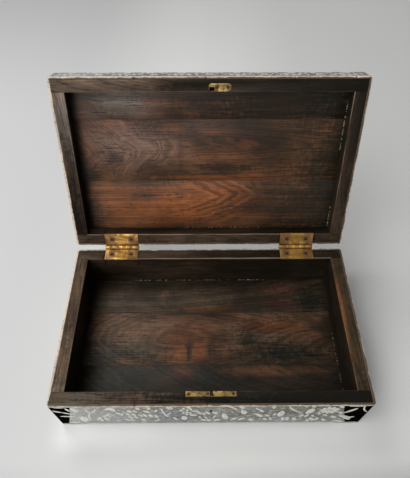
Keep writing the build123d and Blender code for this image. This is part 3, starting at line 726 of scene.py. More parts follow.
def edging_material():
    """Return worn cream edging: stained brown from its inner side, pale along its outer arris, with dirty cracks. The
    stain reaches in further on some sides; on the right sides it is partly painted shade.
    """
    inlay = bpy.context.scene.slope_inlay
    material, shader, place = new_material("cream_edging")
    across, piece, soil = attributes_of(place, "across", "tint", "soil")
    age = use_group("Old Surface", {"Vector": place})
    patches = noise(place, 75.0, 5.0, 0.68)
    # the stain from the inner side, pushed out by dirt and by painted shade
    inner = across - soil + patches.swing(0.22, -0.22)
    tone = mixed(piece, inlay.cream, inlay.warm)
    tone = tone.tinted(inlay.stained, inner.between(-0.1, 0.3, 0.97, 0.0))
    tone = tone.tinted(inlay.stained, age["Grime"] * 0.35)
    cracks = noise(place, 420.0).between(0.58, 0.68, 0.0, 0.5)
    tone = tone.tinted(bpy.context.scene.slope_wood.grime, cracks)
    finish(shader, {"Base Color": tone, "Roughness": patches.swing(0.35, 0.6)}, (patches, 0.25 * MM, 0.7))
    return material


def ground_material():
    """Return the silver-grey ground: polished, faintly clouded, darker in its fine joints, paler towards the left as a
    painted light.
    """
    inlay = bpy.context.scene.slope_inlay
    material, shader, place = new_material("silver_ground")
    age = use_group("Old Surface", {"Vector": place})
    cloud = noise(place, 38.0, 5.0, 0.6)
    broad = noise(place, 14.0)
    tone = mixed(broad.between(0.4, 0.6), inlay.ground, srgb(110, 109, 99))
    tone = tone.tinted(srgb(114, 124, 127), broad.between(0.54, 0.7))
    # painted light: the ground is paler towards the left end
    tone = tone.tinted(srgb(142, 143, 137), place.axis(0).between(-0.16, -0.05, 0.9, 0.0))
    tone = tone.shaded(cloud.swing(0.82, 1.18))
    faint = noise(place.stretched(170, 170, 260), 1.0)
    tone = tone.tinted(inlay.pale, faint.between(0.55, 0.6, 0.0, 0.35))
    tone = tone.tinted(srgb(92, 88, 78), age["Grime"] * 0.22)
    tone = tone.tinted(srgb(176, 174, 166), age["Scratches"] * 0.35)
    finish(shader, {"Base Color": tone, "Roughness": cloud.swing(0.2, 0.34)}, (cloud, 0.1 * MM, 0.3))
    return material


def black_material():
    """Return polished black veneer with brown showing where it is rubbed."""
    material, shader, place = new_material("black_panel")
    age = use_group("Old Surface", {"Vector": place})
    fibre = noise(place.stretched(60, 60, 700), 1.0, 3.0)
    black = bpy.context.scene.slope_inlay.black
    tone = mixed(fibre.between(0.4, 0.8, 0.0, 0.5), black, srgb(20, 17, 11))
    tone = tone.tinted(srgb(96, 90, 78), age["Scratches"] * 0.06)
    inputs = {"Base Color": tone, "Roughness": fibre.swing(0.35, 0.5), "Specular IOR Level": 0.0}
    finish(shader, inputs, (fibre, 0.08 * MM, 0.3))
    return material


def inlay_material():
    """Return pale inlay: each piece has its own tint, a darker cut line down a broad leaf and a dirty outline."""
    inlay = bpy.context.scene.slope_inlay
    material, shader, place = new_material("pale_inlay")
    tint, across, broad = attributes_of(place, "tint", "across", "broad")
    cloud = noise(place, 260.0, 3.0, 0.6)
    tone = mixed(tint, inlay.pale, inlay.warm)
    tone = tone.tinted(srgb(164, 166, 158), cloud.between(0.4, 0.7, 0.0, 0.5))
    vein = abs(across).between(0.04, 0.16, 0.25, 0.0)
    dirt = maths("MAXIMUM", vein * broad, abs(across).between(0.8, 1.0, 0.0, 0.5))
    tone = tone.tinted(inlay.stained, dirt)
    finish(shader, {"Base Color": tone, "Roughness": cloud.swing(0.22, 0.4)}, (cloud - dirt, 0.08 * MM, 0.4))
    return material


def metal_material(name, clean, film, amount, scale, metallic, smooth, screws=(), lid=False, slot=None):
    """Return old metal: rubbed bright on the open face and filmed over in clouds, with fine scratches.

    screws are places in plan, in the closed box, round which the metal is stained dark; where they are given, a painted
    shade also runs along the knuckle. slot is the x of a slot whose lips are painted black as shade.
    """
    material, shader, place = new_material(name)
    age = use_group("Old Surface", {"Vector": place})
    cloud = noise(place, scale, 5.0, 0.65)
    covered = cloud.between(0.42, 0.66, 0.0, amount)
    tone = mixed(covered, clean, film)
    spot = board_place(place, tuple(PIVOT), (-OPEN_ANGLE, 0, 0)) if lid else place
    axis_y = 0.0 if lid else PIVOT[1]
    for x, y in screws:
        off = spot.vector("SUBTRACT", (x, y - PIVOT[1] + axis_y, 0.0)).stretched(1, 1, 0)
        far = off.vector("LENGTH") + cloud.swing(-1.8 * MM, 1.8 * MM)
        ring = far.between(2.8 * MM, 5.2 * MM, 0.85, 0.0)
        tone = tone.tinted(srgb(74, 44, 26), ring)
        covered = maths("MAXIMUM", covered, ring)
    if slot is not None:
        # painted shade: the lips of the slot darkened to near black
        slot_lip_shade = abs(place.axis(0) - slot).between(1.5 * MM, 2.3 * MM, 0.92, 0.0)
        tone = tone.tinted(srgb(16, 12, 8), slot_lip_shade)
        covered = maths("MAXIMUM", covered, slot_lip_shade)
    if screws:
        offs = [abs(place.axis(0) - sum(span) / 2) for span in HINGE_SPANS]
        off = maths("MINIMUM", *offs) + cloud.swing(-2 * MM, 2 * MM)
        tone = tone.tinted(srgb(126, 94, 68), off.between(7 * MM, 11 * MM, 0.0, 0.55))
        # painted shade: a dark line along the leaf beside the knuckle
        from_axis = abs(spot.axis(1) - axis_y)
        line = from_axis.between(2.6 * MM, 3.2 * MM) * from_axis.between(3.8 * MM, 5.0 * MM, 0.8, 0.0)
        tone = tone.tinted(srgb(66, 36, 14), line)
    tone = tone.tinted(clean, age["Scratches"] * 0.5)
    inputs = {"Base Color": tone, "Metallic": metallic - covered * 0.5, "Roughness": covered * 0.25 + smooth}
    finish(shader, inputs, (cloud + age["Scratches"], 0.06 * MM, 0.5))
    return material


# ---- inlay: every leaf, petal, stalk and berry is one bowed lens
def lens(x0, z0, x1, z1, width, blunt, bow=0.0, tint=0.2):
    """Return one lens in millimetres: its two tips, greatest width, bluntness, bow to its left and tint."""
    return [x0, z0, x1, z1, width, blunt, bow, tint]


def flower(x, z, size, petals=6, turn=0.3, tint=0.25, fullness=0.34):
    """Return a ring of petals round a berry."""
    parts = []
    for angle in turn + np.arange(petals) * 2 * math.pi / petals:
        run_x, run_z = size * math.cos(angle), size * math.sin(angle)
        tips = (x + 0.16 * run_x, z + 0.16 * run_z, x + 0.5 * run_x, z + 0.5 * run_z)
        parts.append(lens(*tips, size * fullness, 0.45, 0, tint))
    return parts + berry(x, z, size * 0.2, 0.7)


def berry(x, z, size, tint=0.15):
    """Return a round dot."""
    return [lens(x - size / 2, z, x + size / 2, z, size, 0.5, 0, tint)]


def leaf(x, z, angle, length, width, tint=0.2, bow=0.12):
    """Return a leaf that starts at a point and runs out at an angle in degrees."""
    run = math.radians(angle)
    return [lens(x, z, x + length * math.cos(run), z + length * math.sin(run), width, 0.75, bow * length, tint)]


def lens_grid(lenses, surface, lift, rings=7):
    """Return the grid of flattened tubes for lenses on a surface, and their attributes.

    The spine is a parabola between the tips, bowed to the left. The half width is half the greatest width times the
    sine of the way along to the power of the bluntness, and the section is a low dome over a flat sunk back.
    """
    table = np.array(lenses, float)
    tips = table[:, [0, 1]], table[:, [2, 3]]
    way = (0.5 - 0.5 * np.cos(np.linspace(0.04, 0.96, rings) * math.pi))[None, :, None]
    run = tips[1] - tips[0]
    size = np.linalg.norm(run, axis=1, keepdims=True)
    side = np.stack([-run[:, 1], run[:, 0]], -1) / size
    bow = table[:, 6][:, None, None]
    spine = tips[0][:, None] + run[:, None] * way + side[:, None] * (4 * bow * way * (1 - way))
    half = table[:, 4][:, None, None] / 2 * np.sin(math.pi * way) ** table[:, 5][:, None, None]
    section_across = np.array([-1.0, -0.72, 0.0, 0.72, 1.0, 0.0])
    section_up = np.array([-1.0, 0.75, 1.0, 0.75, -1.0, -1.4])
    slope = run[:, None] + side[:, None] * (4 * bow * (1 - 2 * way))
    slope /= np.linalg.norm(slope, axis=-1, keepdims=True)
    normal = np.stack([-slope[..., 1], slope[..., 0]], -1)
    flat = spine[:, :, None] + normal[:, :, None] * (half[..., None] * section_across[None, None, :, None])
    rise = np.broadcast_to(section_up * lift, flat.shape[:3])
    grid = surface(flat[..., 0] * MM, flat[..., 1] * MM, rise)
    attributes = {
        "across": section_across[None, None, :],
        "tint": table[:, 7][:, None, None],
        "broad": (table[:, 4] > 2.0).astype(float)[:, None, None],
    }
    return grid, attributes


def scroll(start, end, low, high, seed, step=46.0):
    """Return a running scroll between two ends: a waving stalk with leaves on both sides, flowers and berries."""
    random = np.random.default_rng(seed)
    middle, height = (low + high) / 2, high - low
    size = max(0.19 * height, 6.5)
    edges = np.linspace(start, end, max(2, round((end - start) / step)) + 1)
    # share of the way along and angle of the leaves on the stalk
    stalk_leaves = rows(".1 120|.2 60|.32 118|.44 62|.56 112|.68 52|.8 120|.92 60|.2 -58|.82 -122")
    parts = []
    for index, (left, right) in enumerate(zip(edges[:-1], edges[1:])):
        up = 1 if index % 2 else -1
        pitch = right - left
        bow = up * height * 0.24
        parts.append(lens(left, middle, right, middle, 1.7, 0.2, bow, 0.2))
        top = middle - up * height * 0.16
        looks = (size * random.uniform(1.3, 1.6), 6 + index % 3, random.uniform(0, 1), random.uniform(0, 0.6), 0.36)
        parts += flower(left + pitch * 0.5, top, *looks)
        tips = (left + pitch * 0.25, middle + up * height * 0.17, left + pitch * 0.46, top + up * 3)
        parts.append(lens(*tips, 1.3, 0.25, 1.5, 0.2))
        for along, way in stalk_leaves:
            z = middle + bow * 4 * along * (1 - along)
            reach = size * random.uniform(0.8, 1.15)
            angle, width = way * up + random.uniform(-14, 14), reach * random.uniform(0.4, 0.56)
            parts += leaf(left + pitch * along, z, angle, reach, width, random.uniform(0, 0.8))
        for along in (0.05, 0.36, 0.64, 0.95):
            reach = size * random.uniform(0.6, 0.9)
            angle = -90 * up + random.uniform(-50, 50)
            place = (left + pitch * along, middle - up * height * 0.26)
            parts += leaf(*place, angle, reach, reach * 0.48, random.uniform(0, 0.8))
        for offset, across in ((-0.17, 0.13), (0.17, 0.13), (0.0, 0.17)):
            parts += berry(left + pitch * (0.5 + offset), middle + bow + up * height * across, size * 0.3)
    return parts


def rim_share(height):
    """Return a height on the facing, in millimetres, drawn in so that the ornament ends below the edging."""
    return 6 + 0.94 * (height - 6)


def front_spray():
    """Return the sprays of the front, from left to right, with the cream leaves that hang from its edging.

    A row of the table is one lens: the x and z of its two tips, greatest width, bluntness, bow and tint.
    """
    table = """
        -156 67 -151 51 8 .6 .6 .1|-140 62 -137 49 2.2 .35 -1 .1|-129 62 -137 49 2.4 .35 1.5 .1
        -137 50 -141.5 18 2.6 .35 -2 .3|-149 35 -150 12.5 11 .55 .8 .15|-128 33 -133.5 19 4.4 .6 .5 .1
        -125 31 -121 17 4.4 .6 .5 .1|-128 23 -129.5 14.5 3.8 .6 0 .1|-114.5 46.5 -125.5 32 4.2 .6 .6 .5
        -111 69 -118.5 59 6.5 .6 .6 .1|-112 69 -108 54 7 .6 -.6 .05|-108 51 -104 41 5 .6 .3 .5
        -118 31 -109 42 1.6 .3 1.5 .4|-101 47 -103 36 3 .6 0 .5|-93.5 58 -91 48.5 5.2 .5 .3 .2
        -87 58 -84.5 49.5 4.6 .5 -.3 .3|-96.5 47.5 -93.5 36.5 4.8 .5 .3 .8|-90 46 -87.5 35 4.6 .5 .2 .9
        -83.5 42 -79 33.5 4.6 .5 .2 .9|-88.5 34.5 -85.5 24.5 4.8 .5 .2 .8|-94.5 34 -91.5 25.5 4.2 .5 .2 .7
        -101.5 24.5 -97 17 4.8 .6 .2 .3|-96 22.5 -91 16 4.8 .6 .2 .3|-76.5 56.5 -70 47.5 6.4 .6 .5 .1
        -77.5 44.5 -74.5 31 4.2 .5 .2 .6|-70.5 42 -69 29 4.8 .5 .2 .1|-64.5 40 -62 27 4.6 .5 .2 .6
        -82.5 23.5 -77 15 5.2 .6 .3 .3|-83 69 -80.5 59.5 4.4 .6 .2 .2|-68 68 -70.5 58.5 4.4 .6 -.2 .5
        -61 60 -64 50 3.6 .6 .3 .4|-60 22 -66 14 4 .6 .4 .4|-55.5 65 -49.5 29.5 2.5 .35 -1.5 .1
        -46 50 -50.5 38.5 2 .4 .6 .3|-48.5 71 -44.5 60 8 .5 .4 .8|-44 30 -40 17 3.6 .6 .4 .4
        -25 71 -24.5 62.5 5 .5 0 .7|-31 34.5 -31.5 18 8 .5 0 .05|-22.5 54.5 -13.5 51 4.8 .5 .4 .2
        -15 50.5 -11 40.5 4.4 .5 .3 .1|-9 46.5 -7 37.5 4 .5 .2 .3|-6.5 52.5 -1.5 40.5 4.6 .5 .3 .1
        -24.5 41.5 -17 34 7 .55 .4 .8|2 50.5 6.5 41.5 5.4 .55 .3 .2|-13.5 35 -12 24 2 .4 0 .4
        -8.5 34 -4 20 2.2 .4 .6 .2|5.5 37 3 23.5 2.2 .4 -.5 .2|-12 19 -5 14.5 6.4 .55 .4 .15
        -3 20.5 -1 11 5.6 .55 0 .1|4 14.5 11.5 19 6.4 .55 .4 .15|13.5 43 17.5 20 7.6 .6 .9 .15
        16.5 71 29.5 55.5 3.2 .4 2.4 .3|35 56 38.5 40 7.6 .55 .6 .02|33 66 35.3 56 1.6 .3 .3 .2
        24 15.5 31 26 5.4 .55 .4 .2|32 15.5 39.5 26 5.4 .55 -.4 .2|47.5 22.5 48 12 7 .6 0 .1
        49.5 64 54 56 3 .5 .4 .1|54 58 59.5 48 3.2 .5 .4 .05|51 43.5 59.5 28.5 7 .55 .6 .8|31 71 37 62 5.4 .55 .3 .7
        62 38 68.5 30.5 5.2 .55 .4 .8|62 24.5 66 14 4.6 .55 .2 .3|68.5 25 72 16 4.2 .55 .2 .4
        69.5 71 69.8 61 4.4 .5 0 .6|80.8 51.5 80.2 29.5 9 .5 0 .1|86 71 105.5 42.5 2.8 .35 -3 .15
        74 44 72 34 3.4 .5 .3 .4|114 61.5 110.3 39.5 9 .55 .5 .02|84 27.5 86 13.5 5.2 .55 .2 .3
        89 28 91.5 13 5.2 .55 .2 .3|97 26 100 13 5.8 .55 .2 .2|106.5 38 103.5 27.5 4.8 .55 .2 .7
        112.5 38 109.5 27.5 4.8 .55 .2 .7|117 36.5 119.5 28.5 3.4 .5 .2 .5|114 17.5 117 9.5 4.8 .6 0 .1
        116 25.5 122 12 5.6 .6 .4 .02|126.5 24.5 124.5 12.5 5.4 .6 -.3 .05|140 32 146.5 21.5 6.4 .55 .5 .3
        129 38 135.5 31 4.4 .55 .3 .6|122 47 126 37 3.4 .5 .3 .4|146 13 160 5 6 .55 .4 .3
        131.5 21 136.5 9 4.6 .55 .2 .2|104.3 72 105.5 66 3.8 .5 0 .8|111.5 72 115 64.5 5.4 .5 .2 .7
        142 72 147 61.5 5.4 .5 .4 .7|145 48 151 40 4.6 .55 .3 .2|-170 11.5 -155 10 5.2 .6 0 .2
        """
    parts = [
        [x0, rim_share(z0), x1, rim_share(z1), width * 1.1, *rest] for x0, z0, x1, z1, width, *rest in rows(table)
    ]
    parts += flower(133.5, 51, 25, 11, 0.1, 0.1, 0.2) + flower(133.5, 51, 15, 7, 0.5, 0.1, 0.26)
    for x, z in rows("-31 59|-33.5 53.5|-27 53.5|-23 57|-31.5 44.5|-27.3 45.5|-23.8 43|-28 38.5"):
        parts.append(lens(x, z + 3.4, x + 0.4, z - 3.4, 3.6, 0.5, 0, 0.15))
    return parts


def corner_spray(outward, wide, half):
    """Return the strokes of a corner panel on a side of a given half length; outward is -1 at the left.

    A row is one lens, and its tips are measured inwards from the end of the side.
    """
    wide_table = """
        17.2 62 30 42 6 .5 .9 .02|33 34 25 27 5 .6 .3 .3|28 33 16 15 9 .5 .6 .6|24 22 12.5 28 6 .55 .5 .6
        11 69 2.5 46 2.6 .35 -2.6 .1|29 68.5 9 68 3 .35 .2 .9
        """
    narrow_table = """
        3 58 12.5 51 5.2 .45 .5 0|11.5 51.5 22.5 42.5 4.2 .45 -.5 .1|6.5 36 25.5 35 4.6 .4 .4 0
        19.5 67 22.5 54 4.2 .5 .3 .1|7 68.8 19 68 2.6 .5 .3 .8
        """
    edge = half * outward
    parts = []
    for near, z0, far, z1, width, blunt, bow, tint in rows(wide_table if wide else narrow_table):
        tips = (edge - outward * near, rim_share(z0), edge - outward * far, rim_share(z1))
        parts.append(lens(*tips, width, blunt, bow * outward, tint))
    return parts


def base_sides():
    """Return each side of the base as a surface: its face and the rounded corners beside it.

    A place x to the right of the middle of a side, as seen from outside, is a distance along the outline.
    """
    straight_x, straight_y, arc = HALF_X - CORNER, HALF_Y - CORNER, math.pi * CORNER / 2
    starts = {
        "front": straight_x,
        "right": 2 * straight_x + arc + straight_y,
        "back": 3 * straight_x + 2 * arc + 2 * straight_y,
        "left": 4 * straight_x + 3 * arc + 3 * straight_y,
    }

    def side(start):
        """Return the surface whose middle lies at a distance along the outline."""

        def surface(x, z, lift):
            points, normals = rounded_outline(HALF_X, HALF_Y, CORNER, start + x)
            flat = points + normals * lift[..., None]
            return np.stack([flat[..., 0], MIDDLE_Y + flat[..., 1], z], -1)

        return surface

    return {name: side(start) for name, start in starts.items()}


def round_over(up, lift):
    """Return how far a point at a height up the lid's side has turned in, and its height: straight, a quarter, flat."""
    straight = LID_TOP_Z - LID_RIM_Z - LID_ROUND
    turn = np.clip((up - straight) / LID_ROUND, 0, math.pi / 2)
    flat = np.maximum(up - straight - LID_ROUND * math.pi / 2, 0)
    reach = LID_ROUND + lift
    inwards = LID_ROUND - reach * np.cos(turn) + flat
    height = np.minimum(up, straight) + reach * np.sin(turn)
    return inwards, LID_RIM_Z + height


def lid_sides():
    """Return each side of the lid in the open box, with height measured from the rim over the rounded edge."""
    plans = {
        "front": lambda x, inwards: (x, FRONT_Y + inwards),
        "back": lambda x, inwards: (-x, BACK_Y - inwards),
        "left": lambda x, inwards: (-HALF_X + inwards, MIDDLE_Y - x),
        "right": lambda x, inwards: (HALF_X - inwards, MIDDLE_Y + x),
    }

    def side(plan):
        """Return the surface over one side."""

        def surface(x, up, lift):
            inwards, z = round_over(up, lift)
            return opened(np.stack([*plan(x, inwards), z], -1))

        return surface

    return {name: side(plan) for name, plan in plans.items()}


def lid_top(x, y, lift):
    """Return points on the lid's flat top in the open box."""
    return opened(np.stack([x, MIDDLE_Y + y, LID_TOP_Z + lift], -1))


def top_spray():
    """Return the ornament of the lid's top: a scroll along each side and a spray in the middle."""
    half_x, half_y = HALF_X / MM, HALF_Y / MM
    # place, angle and length of the leaves in one quarter
    leaves = rows("""
        28 17 75 15|40 23 105 14|52 27 60 16|66 31 112 14|80 33 66 13|94 33 110 12|34 12 -50 12|54 15 -55 12
        72 22 -60 13|88 26 -75 14|62 12 60 11|98 14 -40 11|104 8 30 11
        """)
    parts = []
    for sign, seed in ((1, 31), (-1, 32)):
        run = np.array(scroll(-half_x + 40, half_x - 40, 0, 34, seed, 34))
        run[:, [1, 3]] = sign * (half_y - 45 + run[:, [1, 3]])
        run[:, 6] *= sign
        parts += run.tolist()
        run = np.array(scroll(-half_y + 46, half_y - 46, 0, 34, seed + 5, 34))
        swapped = run.copy()
        swapped[:, [0, 2]] = sign * (half_x - 45 + run[:, [1, 3]])
        swapped[:, [1, 3]] = run[:, [0, 2]]
        swapped[:, 6] *= -sign
        parts += swapped.tolist()
        for corner in (-1, 1):
            place = (corner * (half_x - 27), sign * (half_y - 27))
            parts += flower(*place, 24, 9, 0.2, 0.3, 0.3) + flower(*place, 12, 6, 0.4, 0.6)
    parts += flower(0, 0, 40, 12, 0.1, 0.2, 0.26) + flower(0, 0, 23, 8, 0.4, 0.6, 0.3)
    for side in (-1, 1):
        for up in (-1, 1):
            parts.append(lens(side * 18, up * 5, side * 104, up * 30, 1.9, 0.2, side * up * 13, 0.2))
            parts.append(lens(side * 40, up * 20, side * 74, up * 4, 1.6, 0.2, -side * up * 6, 0.2))
            parts += flower(side * 108, up * 31, 19, 8, 0.3, 0.4) + flower(side * 78, up * 6, 13, 6, 0.2, 0.1)
            for x, z, way, reach in leaves:
                angle = way * up if side > 0 else 180 - way * up
                parts += leaf(side * x, up * z, angle, reach, reach * 0.48, (x % 5) / 6)
    for side in (-1, 1):
        parts += leaf(side * 23, 0, 90 - side * 90, 24, 9, 0.1) + leaf(0, side * 21, side * 90, 18, 8, 0.1)
        for turn in (40, 140):
            parts += leaf(15 * math.cos(math.radians(turn)), side * 17, side * turn, 16, 7, 0.3)
    return parts


# ---- operators
class SLOPE_OT_base_boards(bpy.types.Operator):
    """Soften the walls and floor of the base and give each board its own grain"""

    bl_idname = "slope.base_boards"
    bl_label = "Base boards"

    def stains_of_walls(self):
        """Return the patches of each wall: worn and dark stretches of the rim, painted sheen on the left of the front
        rim and near the front of the left rim, painted shade over the right of the front rim and along the right rim, a
        painted highlight along the right wall's inner arris, and black cuts of painted shadow beside the metal.
        """
        lock_y, hinge_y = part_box("lock_plate")[0].y, BACK_Y - 9 * MM
        hinge_ends = [end for span in HINGE_SPANS for end in span]
        return {
            "front": [
                # painted sheen on the left of the front rim
                patch((-0.15, FRONT_Y, RIM_Z), (60, 30, 30), (88, 84, 72), 0.5),
                # painted shade over the right of the front rim
                patch((0.12, FRONT_Y, RIM_Z), (240, 50, 50), PAINTED_SHADE, 1.0),
                # painted shadow in the gaps at the ends of the lock plate
                *[patch((end, lock_y, RIM_Z), (2.5, 20, 9), PAINTED_SHADE, 0.9) for end in span_x("lock_plate")],
            ],
            "back": [
                patch((0, BACK_Y, RIM_Z), (200, 20, 20), (88, 76, 62), 0.4),
                # painted shadow in the gaps at the ends of the hinge leaves
                *[patch((end, hinge_y, RIM_Z), (2.2, 20, 14), PAINTED_SHADE, 0.9) for end in hinge_ends],
            ],
            "left": [
                patch((-HALF_X, BACK_Y, RIM_Z), (30, 50, 50), (70, 52, 38), 0.6),
                # the two paler patches near the front of the left rim are painted sheen
                patch((-HALF_X, FRONT_Y + 20 * MM, RIM_Z), (110, 50, 50), (138, 113, 92), 0.9),
                patch((-HALF_X, FRONT_Y + 8 * MM, RIM_Z), (40, 60, 50), (88, 80, 68), 0.75),
            ],
            "right": [
                # painted shade along the right rim
                patch((HALF_X, MIDDLE_Y - 20 * MM, RIM_Z), (200, 50, 50), (56, 45, 30), 0.9),
                # painted highlight along the right wall's inner arris
                patch((INNER_X, BACK_Y - 110 * MM, RIM_Z), (65, 4, 4.5), (146, 88, 50), 0.6),
            ],
        }

    def execute(self, context):
        wood = context.scene.slope_wood
        quarter = math.pi / 2
        dark = (wood.wall_light, wood.wall_dark, wood.grime)
        brown = (srgb(100, 80, 62), srgb(60, 46, 34), JET)
        # each: tones, heart, turn, painted shade inside the box, painted shade to the right, rubbing of the rim
        walls = {
            "front": (dark, (-0.02, FRONT_Y, 0.02), (quarter, 0, 0), 0.0, 1.0, 0.1),
            "back": (dark, (0.05, BACK_Y + 0.01, 0.0), (quarter, 0, 0.02), 0.45, 0.6, 1.0),
            "left": (brown, (-HALF_X, -0.1, 0.03), (quarter * 0.9, 0, quarter), 0.97, 0.0, 0.25),
            "right": (dark, (HALF_X + 0.01, 0.0, 0.02), (quarter * 1.1, 0, quarter), 0.7, 0.0, 0.55),
        }
        usual = dict(contrast=0.5, curl=0.2, streak=0.7, gloss=0.1)
        dress_frame("base_{}_board", "base", walls, self.stains_of_walls(), **usual)

        def on_floor(x, from_front):
            """Return a point of the floor's face from its place in millimetres."""
            return (x * MM, FRONT_Y + from_front * MM, FLOOR_Z)

        rear = """
            -62 174 10 12 106 78 56 .7|100 160 30 12 88 44 38 .6|100 182 30 8 96 50 38 .6|142 165 22 24 36 39 32 .8
            10 152 70 6 112 70 44 .6|-52 165 14 20 36 39 32 .5
            """
        # the grey stone row at the left is painted sheen, and the slate row at the left end painted shade by the left
        # wall
        middle = """
            -28 104 60 36 122 70 44 .6|-100 116 45 22 106 78 56 .5|-88 90 40 20 74 70 58 .6
            20 136 120 7 118 76 48 .6|-39 86 5 20 146 84 48 .25|-27 88 5 14 36 39 32 .8|-13 84 12 13 146 84 48 .42
            2 88 8 16 36 39 32 .6|19 84 6 18 146 84 48 .3|92 84 75 21 36 39 32 1|52 104 20 14 36 39 32 .8
            88 124 50 8 122 70 44 .8|132 112 35 9 122 80 50 .7|-158 78 75 26 50 51 45 .85
            """
        # the ash row at the left is painted shade in the corner by the front and left walls
        front = """
            -36 60 22 12 122 70 44 .5|-4 52 20 30 36 39 32 .8|80 61 70 7 122 84 54 .9|36 58 14 7 122 84 54 .7
            -120 50 80 40 54 54 48 .6
            """
        knot = (-0.03, FRONT_Y + 0.108, FLOOR_Z - 0.03)
        dusky = (srgb(84, 69, 53), srgb(50, 41, 32), wood.grime)
        warm = (wood.floor_light, wood.floor_dark, wood.grime)
        dim = (srgb(62, 50, 38), srgb(36, 30, 23), wood.grime)
        chevrons = [figure(knot, 2.8, 3.2, 14, 0.0, 0.3), figure(on_floor(230, 88), 3.2, 5.0, 16, 0.2, 0.5)]
        planks = {
            "rear": (dusky, 0.2, [figure(on_floor(-100, 215), 5, 4.2, 22)], rear, None),
            "middle": (warm, 0.2, chevrons, middle, (on_floor(115, 96), (0.1, 0.04, 0.05))),
            "front": (dim, 0.5, [figure(on_floor(230, 80), 3.2, 5.0, 18, 0.2)], front, None),
        }
        usual = dict(contrast=0.6, curl=0.2, streak=0.6, gloss=0.14, soil=0.95)
        dress_planks("base_floor_{}", "base", "dark_wood", (0, 0, 0), on_floor, planks, **usual)
        return {"FINISHED"}


class SLOPE_OT_lid_boards(bpy.types.Operator):
    """Soften the rails and planks of the lid and give each board its own grain"""

    bl_idname = "slope.lid_boards"
    bl_label = "Lid boards"

    def execute(self, context):
        wood = context.scene.slope_wood
        half = HALF_X / MM

        def place(x, from_front, above_rim=0):
            """Return a point of the closed lid, from its place in millimetres, where it is when open."""
            return tuple(opened(np.array([x * MM, FRONT_Y + from_front * MM, LID_RIM_Z + above_rim * MM])))

        def on_lid(x, from_front):
            """Return a point of the planks' inner face."""
            return place(x, from_front, (LID_INNER_Z - LID_RIM_Z) / MM)

        flat = (-OPEN_ANGLE, 0, 0)
        upright = Matrix.Rotation(-OPEN_ANGLE, 3, "X") @ Matrix.Rotation(math.pi / 2, 3, "Z")
        upright = tuple(upright.to_euler("XYZ"))
        dark = (wood.wall_light, wood.wall_dark, wood.grime)
        darker = (wood.wall_light, wood.wall_dark, JET)
        # each: tones, heart, turn, painted shade inside the lid, painted shade to the right, rubbing of the rim
        rails = {
            "front": (dark, place(30, 0, 10), flat, 0.5, 0.95, 0.2),
            "back": (dark, place(-60, 210, 20), flat, 0.4, 0.6, 1.0),
            "left": (darker, place(-180, 100, 10), upright, 0.97, 0.0, 0.2),
            "right": (dark, place(180, 80, 10), upright, 0.5, 0.45, 0.9),
        }
        ends = [end / MM for span in HINGE_SPANS for end in span]
        spots = {
            # painted sheen on the left of the front rail
            "front": [patch(place(-125, 0), (140, 50, 50), (116, 96, 80), 0.8)],
            "back": [
                patch(place(0, 216), (180, 30, 30), (100, 82, 62), 0.75),
                # painted shadow in the gaps at the ends of the hinge leaves
                *[patch(place(end, 207), (2.2, 14, 20), PAINTED_SHADE, 0.9) for end in ends],
            ],
            "left": [
                # painted sheen near the front of the left rail
                patch(place(-half, 42), (75, 40, 40), (132, 116, 104), 1.0),
                patch(place(-half, 110), (40, 10, 30), (112, 76, 56), 0.8),
                # painted shade near the back of the left rail
                patch(place(-half, 175), (85, 60, 60), (26, 15, 7), 1.0),
            ],
        }
        dress_frame("lid_{}_rail", "lid", rails, spots, contrast=0.6, curl=0.2, streak=0.8, gloss=0.11)
        # the pale grey row at the left is painted sheen; the dark rows at the left end and over the right are painted
        # shade
        front = """
            -105 30 60 30 112 102 94 .8|-150 26 22 16 36 34 30 .6|-72 31 12 4 120 70 48 .6|75 32 150 45 30 22 12 .95
            176 34 60 60 24 21 12 1
            """
        # the pale rose row at the left is painted sheen; the dark rows at the left end and at the right are painted
        # shade
        middle = """
            -95 80 75 50 122 96 84 .7|-105 60 55 16 134 86 64 .45|-44 61 26 15 138 80 42 .4
            -119 101 14 14 40 33 28 .7|-155 122 22 14 34 30 26 .8|-36 92 4 30 44 34 28 .3|10 66 50 18 104 62 42 .5
            50 82 22 10 138 80 42 .5|22 113 45 7 44 34 24 .8|125 92 75 50 64 45 24 .6|10 126 100 6 138 80 42 .8
            35 76 6 6 44 34 24 .9|8 76 7 5 44 34 24 .8|182 92 70 90 36 30 17 .95|70 62 110 20 62 42 26 .7
            """
        # the dark rows at the left end and at the right are painted shade
        rear = """
            -20 162 120 50 146 84 42 .95|-82 151 30 3.5 44 34 28 .9|132 165 85 60 46 33 18 .95
            -158 175 16 30 40 32 28 .7|40 190 50 14 104 66 38 .5|180 165 60 90 38 33 19 .95
            """
        warm = (wood.lid_light, wood.lid_dark, wood.grime)
        arches = [figure(place(-100, 82, 12), 13, 2.6, 12), figure(place(-270, 90, 17), 1.4, 3.4, 44, 0.5, 0.4)]
        chevrons = [figure(place(-60, 300, 17), 9, 2.6, 11), figure(place(-100, 149, 17), 1.9, 9.5, 30, 0.75, 0.7)]
        planks = {
            "front": (warm, 0.0, [figure(place(-60, -20, 10), 7, 2.6, 16)], front, None),
            "middle": (warm, 0.0, arches, middle, (on_lid(-115, 90), (0.09, 0.055, 0.04))),
            "rear": (warm, 0.0, chevrons, rear, (on_lid(14, 156), (0.05, 0.045, 0.04))),
        }
        usual = dict(contrast=0.62, curl=0.1, streak=0.5, gloss=0.26, soil=0.9, calm=0.4)
        dress_planks("lid_top_{}_board", "lid", "lid_planks", flat, on_lid, planks, **usual)
        return {"FINISHED"}


